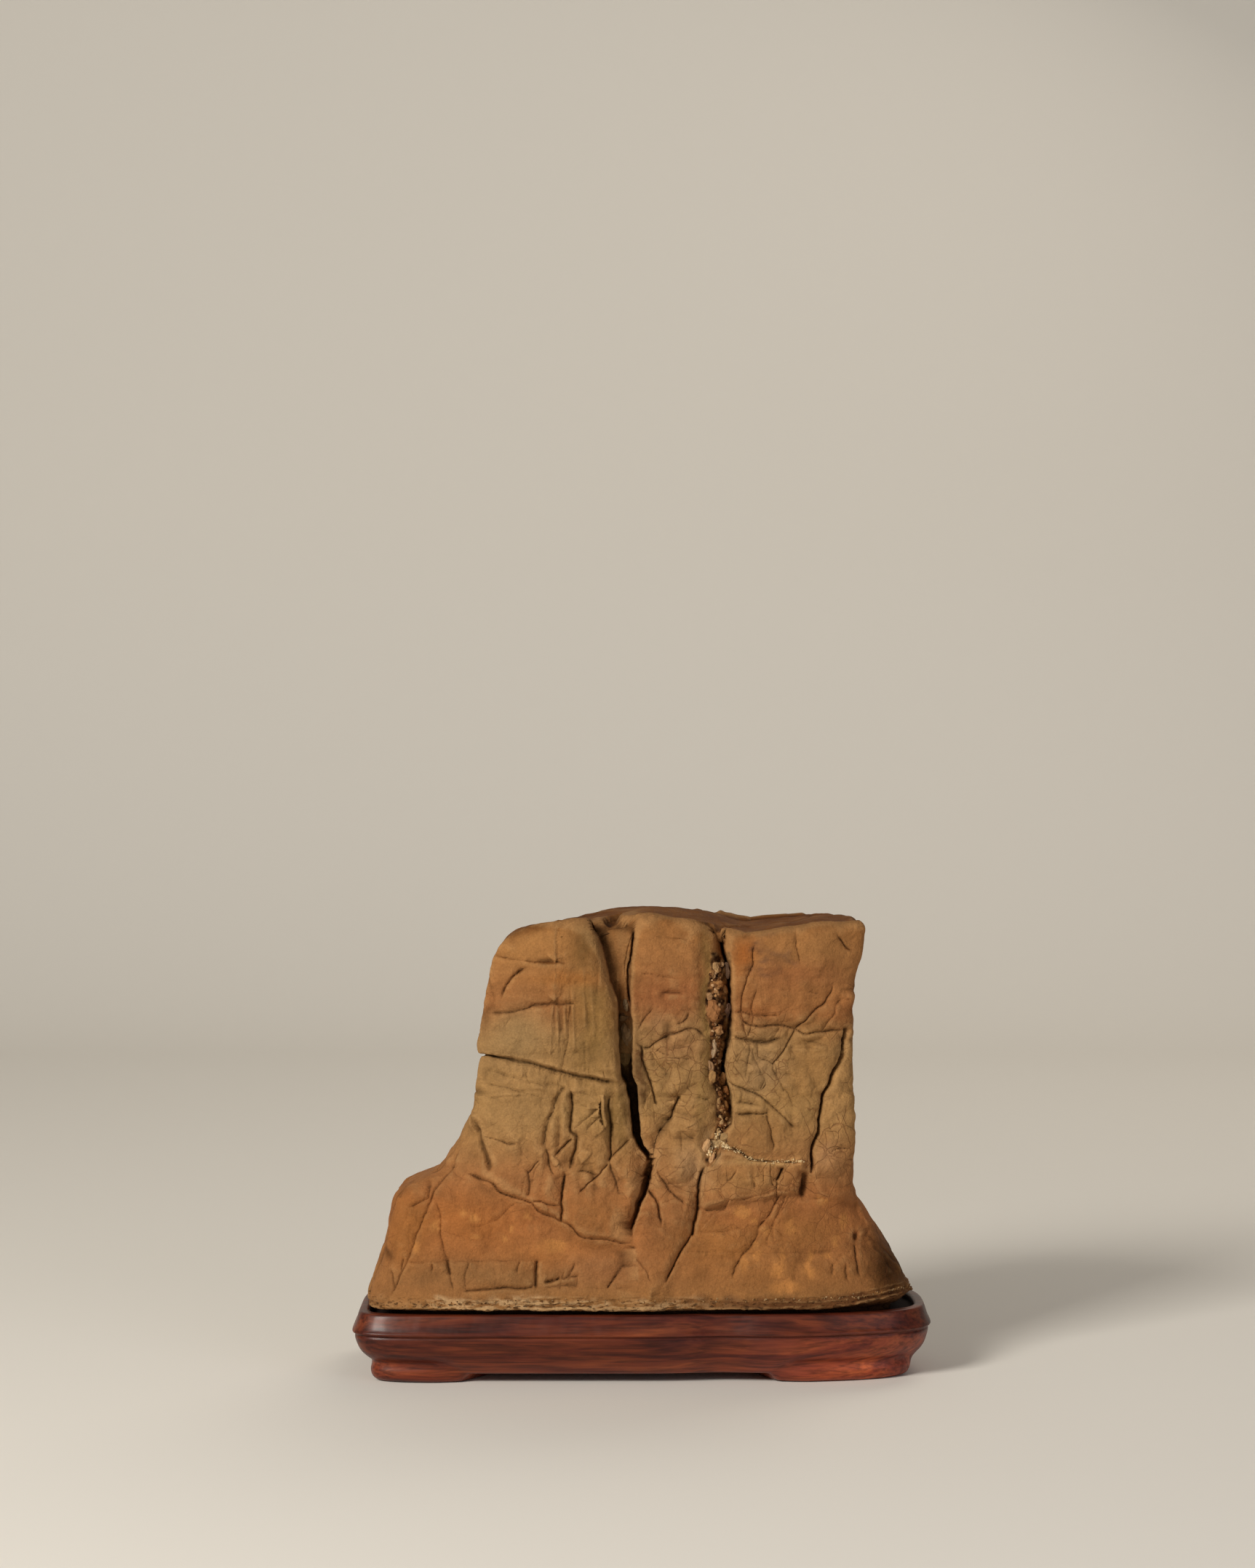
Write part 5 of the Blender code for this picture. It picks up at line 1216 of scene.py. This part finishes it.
# Crumbs: pixel lines with a spread in pixels, how many,
# their size in mm, how far they stand out, their colours
crumbSets = {
    "cleftRubble": {
        "lines": [(6, [(985, 1330), (983, 1360), (984, 1410), (985, 1450), (985, 1480), (992, 1520),
                       (993, 1550)])],
        "count": 150, "size": (0.35, 0.95), "lift": 0.2,
        "colours": ("#A47A4E", "#7C5230", "#B8926A", "#4E301C"),
    },
    "quartzCrust": {
        "lines": [(6, [(988, 1558), (982, 1570), (974, 1588)]), (2.5, [(990, 1570), (1002, 1578)])],
        "count": 130, "size": (0.25, 0.7), "lift": 0.25,
        "colours": ("#E0C496", "#CCAA7A", "#E6CEA2", "#B08C5E"),
    },
    "ledgeDust": {
        "lines": [(2.8, [(992, 1574), (1000, 1578), (1018, 1585), (1034, 1594), (1054, 1597), (1086, 1597),
                         (1103, 1597)])],
        "count": 170, "size": (0.12, 0.38), "lift": 0.1,
        "colours": ("#D8BC8C", "#C4A272", "#E0C698"),
    },
    "footCrust": {
        "lines": [(3, [(580, 1796), (640, 1792), (760, 1790), (900, 1790), (1000, 1787), (1100, 1787),
                       (1180, 1782), (1225, 1774), (1252, 1768)])],
        "count": 220, "size": (0.15, 0.42), "lift": 0.0,
        "colours": ("#A07C52", "#8A6238", "#6A4628", "#B0926A"),
    },
}


# A sphere of 20 faces split once or twice: its 42 or 162 points, and its triangles
def crumbShape(splits):
    bm = bmesh.new()
    bmesh.ops.create_icosphere(bm, subdivisions=splits + 1, radius=1.0)
    points = np.array([v.co[:] for v in bm.verts])
    faces = np.array([[v.index for v in f.verts] for f in bm.faces])
    bm.free()
    return points, faces


# Joined copies of the crumb shape, each with half sizes along three axes, a turn,
# a place and a colour, and with broad dents of its own by a noise on the sphere
def grit(name, crumbs, material, seed, splits=1):
    shape, faces = crumbShape(splits)
    random = np.random.default_rng(seed)
    vertices, triangles, colours = [], [], []
    for i, (halfSizes, turn, centre, colour) in enumerate(crumbs):
        dents = (latticeNoise(shape * 1.1 + 7.3 * i, seed) * 0.42
                 + latticeNoise(shape * 2.6 + 3.1 * i, seed + 1) * 0.2)
        dented = shape * (1 + dents[:, None] + random.uniform(-0.05, 0.05, (len(shape), 1)))
        vertices.append((dented * halfSizes) @ turn.T + centre)
        triangles.append(faces + i * len(shape))
        colours.append(colour * random.uniform(0.85, 1.12, (len(shape), 1)))
    mesh = bpy.data.meshes.new(name)
    mesh.from_pydata((np.vstack(vertices) * mm).tolist(), [], np.vstack(triangles).tolist())
    storeColours(mesh, "tint", np.vstack(colours))
    mesh.materials.append(material)
    crumbPiece = place(name, mesh)
    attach(crumbPiece, "root")


# The wedged pieces, each set on the nearest point of the stone to its pixel, turned by its lean
def makeWedgedPieces(surface, material):
    crumbs = []
    for x, y, half, tall, lean, code in wedgedPieces.values():
        nearest = surface["points"][np.argmin((surface["px"] - x) ** 2 + (surface["py"] - y) ** 2)]
        tilt = math.radians(lean)
        turn = np.array([[math.cos(tilt), 0, -math.sin(tilt)], [0, 1, 0],
                         [math.sin(tilt), 0, math.cos(tilt)]])
        sizes = np.array([half, 0.8 * min(half, tall), tall])
        crumbs.append((sizes, turn, nearest + np.array([0, 0.1 * min(half, tall), 0]), linear(code)))
    grit("wedgedPieces", crumbs, material, 69, 2)


# Grit: sizes, turns and places drawn at random along its lines, each sunk into the nearest point of the stone
def makeCrumbs(name, settings, surface, material, seed):
    random = np.random.default_rng(seed)
    lines = [(spread, smoothLine(points, 8)) for spread, points in settings["lines"]]
    crumbs = []
    for i in range(settings["count"]):
        spread, line = lines[i % len(lines)]
        x, y = line[random.integers(len(line))] + random.normal(0, spread * 0.5, 2)
        nearest = np.argmin((surface["px"] - x) ** 2 + (surface["py"] - y) ** 2)
        size = random.uniform(*settings["size"])
        turn = np.linalg.qr(random.normal(size=(3, 3)))[0]
        turn *= np.sign(np.linalg.det(turn))
        centre = surface["points"][nearest] + surface["facing"][nearest] * size * settings["lift"]
        code = settings["colours"][random.integers(len(settings["colours"]))]
        crumbs.append((size * random.uniform(0.55, 1.1, 3), turn, centre,
                       linear(code, random.uniform(0.75, 1.1))))
    grit(name, crumbs, material, seed + 20)


# The stand: profiles from the seat outwards and under, as (inset, height) in mm, and its feet
standForm = {
    "halfWidth": 100.0,
    "halfDepth": 44.0,
    "corners": {"frontLeft": (9.0, 9.0), "frontRight": (3.0, 3.0), "backRight": (3.0, 3.0),
                "backLeft": (5.0, 5.0)},
    "rim": [(40, 21.5), (22, 21.5), (8.6, 21.5), (6.4, 21.7), (6.0, 22.3), (5.9, 23.7), (5.4, 24.3),
            (4.4, 24.4), (3.1, 24.4), (2.5, 24.2), (2.1, 23.5), (1.3, 20.8), (0.5, 18.8), (0.0, 18.1),
            (0.0, 17.5), (0.6, 17.1), (1.1, 16.9), (1.1, 16.5), (0.8, 16.0), (1.0, 14.6)],
    "apron": [(1.9, 11.4), (3.2, 8.8), (4.8, 6.6), (6.4, 4.8), (7.4, 3.7), (8.4, 3.2), (10, 3.1), (18, 3.2),
              (24, 3.2), (40, 3.2)],
    "foot": [(2.4, 11.0), (4.6, 8.6), (6.6, 7.0), (6.4, 5.4), (5.9, 3.6), (6.5, 1.3), (8.0, 0.2), (10, 0.0),
             (18, 0.0), (24, 3.2)],
    "feet": [(-1, -1, 64.5, 18), (1, -1, 46.5, 13), (-1, 1, 62, 17), (1, 1, 50, 14)],
    "footFade": 5.0,
    "swellFade": 15.0,
    "scallops": [("front", 26, 13, 2.0), ("back", -14, 14, 2.0), ("right", 14, 9, 1.0),
                 ("left", 10, 10, 1.2)],
    "columns": {"frontLeft": 130, "frontRight": 130, "backRight": 110, "backLeft": 110},
}


# The stand's outline drawn in by the inset: a squared ellipse with a shallow dip at each scallop
def standPlan(theta, inset):
    form = standForm
    half, depth = form["halfWidth"] - inset, form["halfDepth"] - inset
    x, y = planPoint(theta, -half, half, -depth, depth, stoneForm["widestY"], form["corners"], 0.0)
    for side, middle, halfWidth, cut in form["scallops"]:
        lengthwise = side in ("front", "back")
        along, across, reach = (x, y, depth) if lengthwise else (y, x, half)
        sign = -1 if side in ("front", "left") else 1
        facing = smoothStep((sign * across / reach - 0.7) / 0.2)
        dip = sign * cut * facing * np.exp(-(((along - middle) / halfWidth) ** 2))
        x, y = (x, y - dip) if lengthwise else (x - dip, y)
    return x, y


# 1 over a foot and 0 along the apron between feet, with a fade of the given length in mm
def footShare(x, y, fade):
    share = np.zeros(x.shape)
    for sideX, sideY, reachX, reachY in standForm["feet"]:
        pastX = smoothStep((sideX * x - reachX) / fade)
        pastY = smoothStep((sideY * y - reachY) / fade)
        share = np.maximum(share, pastX * pastY)
    return share


# Each stretch keeps its quarter points, so that corners turn softly
def cutCorners(points, times):
    p = np.array(points, float)
    for _ in range(times):
        near, far = p[:-1] * 0.75 + p[1:] * 0.25, p[:-1] * 0.25 + p[1:] * 0.75
        p = np.vstack([p[:1], np.stack([near, far], axis=1).reshape(-1, 2), p[-1:]])
    return p


# Rosewood, carved, oiled and lacquered: red-brown with dark purple streaks along its length, paler
# towards its right end, brightened low down near the floor as painted bounce light, with a soft gloss
# but for the seat under the stone, which is bare, matt and painted nearly black as shade
def woodMaterial():
    material = bpy.data.materials.new("lacqueredRosewood")
    material.use_nodes = True
    tree = material.node_tree
    shader = tree.nodes["Principled BSDF"]
    where = addNode(tree, "ShaderNodeTexCoord").outputs["Object"]
    flow = addNode(tree, "ShaderNodeMapping", {"Vector": where, "Scale": (0.09, 1.0, 1.0)})
    wave = addNode(tree, "ShaderNodeTexNoise", {"Vector": flow.outputs["Vector"], "Scale": 170.0,
                                                "Detail": 7.0, "Roughness": 0.62, "Distortion": 0.6})
    figure = addNode(tree, "ShaderNodeValToRGB", {"Fac": wave.outputs["Fac"]})
    stops = [(0.28, "#34110A"), (0.44, "#4E1E10"), (0.56, "#602A15"), (0.72, "#7A3C1E")]
    ramp = figure.color_ramp
    while len(ramp.elements) < len(stops):
        ramp.elements.new(0.5)
    for element, (position, code) in zip(ramp.elements, stops):
        element.position = position
        element.color = paint(code)
    thin = addNode(tree, "ShaderNodeMapping", {"Vector": where, "Scale": (0.06, 1.0, 1.0)})
    pores = addNode(tree, "ShaderNodeTexNoise", {"Vector": thin.outputs["Vector"], "Scale": 900.0,
                                                 "Detail": 4.0, "Distortion": 0.4})
    streak = addNode(tree, "ShaderNodeMapRange", {"Value": pores.outputs["Fac"], "From Min": 0.34,
                                                  "From Max": 0.58, "To Min": 0.55, "To Max": 1.18})
    cloud = addNode(tree, "ShaderNodeTexNoise", {"Vector": where, "Scale": 30.0, "Detail": 3.0})
    purple = addNode(tree, "ShaderNodeMapRange", {"Value": cloud.outputs["Fac"], "From Min": 0.5,
                                                  "From Max": 0.68, "To Min": 0.0, "To Max": 0.4})
    aged = addNode(tree, "ShaderNodeMix", {0: purple.outputs["Result"], 6: figure.outputs["Color"],
                                           7: paint("#30161A")}, data_type="RGBA")
    axes = addNode(tree, "ShaderNodeSeparateXYZ", {0: where})
    endGrain = addNode(tree, "ShaderNodeMapRange",
                       {"Value": axes.outputs[0], "From Min": 0.01, "From Max": 0.075,
                        "To Min": 0.0, "To Max": 1.3}, interpolation_type="SMOOTHSTEP")
    below = addNode(tree, "ShaderNodeMapRange",
                    {"Value": axes.outputs[2], "From Min": 0.0145, "From Max": 0.0175,
                     "To Min": 1.0, "To Max": 0.0}, interpolation_type="SMOOTHSTEP")
    # brighter low down near the floor: painted bounce light
    lowBounceLight = addNode(tree, "ShaderNodeMapRange",
                      {"Value": axes.outputs[2], "From Min": 0.003, "From Max": 0.013,
                       "To Min": 1.6, "To Max": 1.05}, interpolation_type="SMOOTHSTEP")
    paler = addNode(tree, "ShaderNodeMath", {0: endGrain.outputs["Result"], 1: below.outputs["Result"],
                                             2: lowBounceLight.outputs["Result"]}, operation="MULTIPLY_ADD")
    bright = addNode(tree, "ShaderNodeMath", {0: paler.outputs[0], 1: streak.outputs["Result"]},
                     operation="MULTIPLY")
    toned = addNode(tree, "ShaderNodeVectorMath", {0: aged.outputs[2], "Scale": bright.outputs[0]},
                    operation="SCALE")
    # the seat under the stone: bare and matt, and painted nearly black as the shade beneath the stone
    bareSeatShade = addNode(tree, "ShaderNodeAttribute", attribute_name="bareSeatShade").outputs["Fac"]
    dulled = addNode(tree, "ShaderNodeMix", {0: bareSeatShade, 6: toned.outputs["Vector"], 7: paint("#1E0C07")},
                     data_type="RGBA")
    tree.links.new(dulled.outputs[2], shader.inputs["Base Color"])
    gloss = addNode(tree, "ShaderNodeMapRange", {"Value": wave.outputs["Fac"], "To Min": 0.34,
                                                 "To Max": 0.52})
    matt = addNode(tree, "ShaderNodeMath", {0: bareSeatShade, 1: 0.5, 2: gloss.outputs["Result"]},
                   operation="MULTIPLY_ADD")
    tree.links.new(matt.outputs[0], shader.inputs["Roughness"])
    lacquer = addNode(tree, "ShaderNodeMath", {0: bareSeatShade, 1: -0.12, 2: 0.12}, operation="MULTIPLY_ADD")
    tree.links.new(lacquer.outputs[0], shader.inputs["Coat Weight"])
    bump = addNode(tree, "ShaderNodeBump", {"Height": pores.outputs["Fac"], "Strength": 0.15,
                                            "Distance": 0.0002})
    hand = addNode(tree, "ShaderNodeTexNoise", {"Vector": where, "Scale": 110.0, "Detail": 2.0})
    carved = addNode(tree, "ShaderNodeBump", {"Height": hand.outputs["Fac"], "Strength": 0.3,
                                              "Distance": 0.0012, "Normal": bump.outputs["Normal"]})
    tree.links.new(carved.outputs["Normal"], shader.inputs["Normal"])
    shader.inputs["Specular IOR Level"].default_value = 0.22
    shader.inputs["Coat Roughness"].default_value = 0.18
    return material


# The stand: its outline carried down one profile, which blends from the apron's to the foot's over each foot
def makeStand(material):
    form = standForm
    theta = evenAngles(form["columns"], lambda angle: standPlan(angle, 0.0))
    plan = standPlan(theta, 0.0)
    swell, foot = footShare(*plan, form["swellFade"]), footShare(*plan, form["footFade"])
    apron, leg = cutCorners(form["rim"] + form["apron"], 2), cutCorners(form["rim"] + form["foot"], 2)
    inset = apron[:, :1] * (1 - swell) + leg[:, :1] * swell
    z = apron[:, 1:] * (1 - foot) + leg[:, 1:] * foot
    rows = [np.stack([*standPlan(theta, row), height], axis=1) for row, height in zip(inset, z)]
    under = np.zeros((1, len(theta), 3)) + (0, 0, form["apron"][-1][1])
    seat = np.zeros((1, len(theta), 3)) + (0, 0, form["rim"][0][1])
    grid = np.concatenate([under, np.array(rows[::-1]), seat])
    stand = gridMesh("carvedStand", grid)
    # the seat under the stone: bare and matt, and painted nearly black as the shade beneath the stone
    seated = (inset > 6.0) & (z > 20)
    bareSeatShade = np.vstack([np.zeros((1, len(theta))), seated[::-1], np.ones((1, len(theta)))])
    storeColours(stand.data, "bareSeatShade", np.repeat(polesOnce(bareSeatShade)[:, None], 3, axis=1))
    stand.data.materials.append(material)
    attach(stand, "root")
    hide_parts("stand")
    print("stand carved:", grid.shape[:2])


# Studio: lights as place in m, size in m, power in W and colour, all aimed at the stone
studio = {
    "aim": (0.0, 0.0, 0.08),
    "lights": {
        "keyLight": ((-0.98, -1.2, 0.95), 0.5, 26.5, "#FFFAF2"),
        "fillLight": ((1.0, -1.1, 0.5), 0.9, 3.2, "#F6F4FF"),
        "backLight": ((0.5, 0.8, 1.05), 0.7, 3.4, "#FFF4E6"),
    },
    "world": ("#E8E4DC", 0.2),
    "floor": "#E6E2DA",
    "sweep": {"front": -5.0, "bend": 0.95, "radius": 0.35, "height": 1.7, "half": 2.4},
}


# Turn that points a light or camera from its place to the target
def aimAt(placed, target):
    return Vector(np.array(target) - np.array(placed)).to_track_quat("-Z", "Y").to_euler()


# Lights, world, and a pale floor that bends up behind the object along a quarter circle
def makeStudio():
    for name, (placed, size, power, code) in studio["lights"].items():
        data = bpy.data.lights.new(name, "AREA")
        data.size, data.energy, data.color = size, power, linear(code)
        light = bpy.data.objects.new(name, data)
        light.location = placed
        light.rotation_euler = aimAt(placed, studio["aim"])
        bpy.context.scene.collection.objects.link(light)
    world = bpy.data.worlds.new("paleWorld")
    world.use_nodes = True
    code, strength = studio["world"]
    world.node_tree.nodes["Background"].inputs["Color"].default_value = paint(code)
    world.node_tree.nodes["Background"].inputs["Strength"].default_value = strength
    bpy.context.scene.world = world
    sweep = studio["sweep"]
    turn = np.linspace(0, np.pi / 2, 13)
    path = [(sweep["front"], 0.0)]
    path += [(sweep["bend"] + sweep["radius"] * math.sin(t), sweep["radius"] * (1 - math.cos(t)))
             for t in turn]
    path += [(sweep["bend"] + sweep["radius"], sweep["height"])]
    vertices = [(side * sweep["half"], y, z) for y, z in path for side in (-1, 1)]
    faces = [(2 * i, 2 * i + 1, 2 * i + 3, 2 * i + 2) for i in range(len(path) - 1)]
    mesh = bpy.data.meshes.new("studioFloor")
    mesh.from_pydata(vertices, [], faces)
    mesh.shade_smooth()
    material = bpy.data.materials.new("mattPaperFloor")
    material.use_nodes = True
    shader = material.node_tree.nodes["Principled BSDF"]
    shader.inputs["Base Color"].default_value = paint(studio["floor"])
    shader.inputs["Roughness"].default_value = 0.9
    mesh.materials.append(material)
    place("studioFloor", mesh)
    bpy.context.scene.view_settings.view_transform = "Standard"
    print("studio set")


def makeCamera():
    view = cameraView
    data = bpy.data.cameras.new("photoCamera")
    data.sensor_width = view["sensor"]
    data.lens = view["focal"] / view["longSide"] * view["sensor"]
    camera = bpy.data.objects.new("photoCamera", data)
    camera.location = np.array(view["place"]) * mm
    camera.rotation_euler = (math.radians(90 - view["pitch"]), 0, 0)
    bpy.context.scene.collection.objects.link(camera)
    bpy.context.scene.camera = camera
    print("camera set")


makeCamera()
makeStudio()
sandstone = stoneMaterial()
stonePoints, stoneFacing = makeStone(sandstone)
seen = np.flatnonzero(stoneFacing[:, 1] < 0.1)
seenX, seenY = toPicture(stonePoints[seen])
frontSurface = {"points": stonePoints[seen], "facing": stoneFacing[seen], "px": seenX, "py": seenY}
makeWedgedPieces(frontSurface, sandstone)
for number, (crumbName, crumbSettings) in enumerate(crumbSets.items()):
    makeCrumbs(crumbName, crumbSettings, frontSurface, sandstone, 70 + number)
print("crumbs laid")
makeStand(woodMaterial())

bpy.context.view_layer.update()
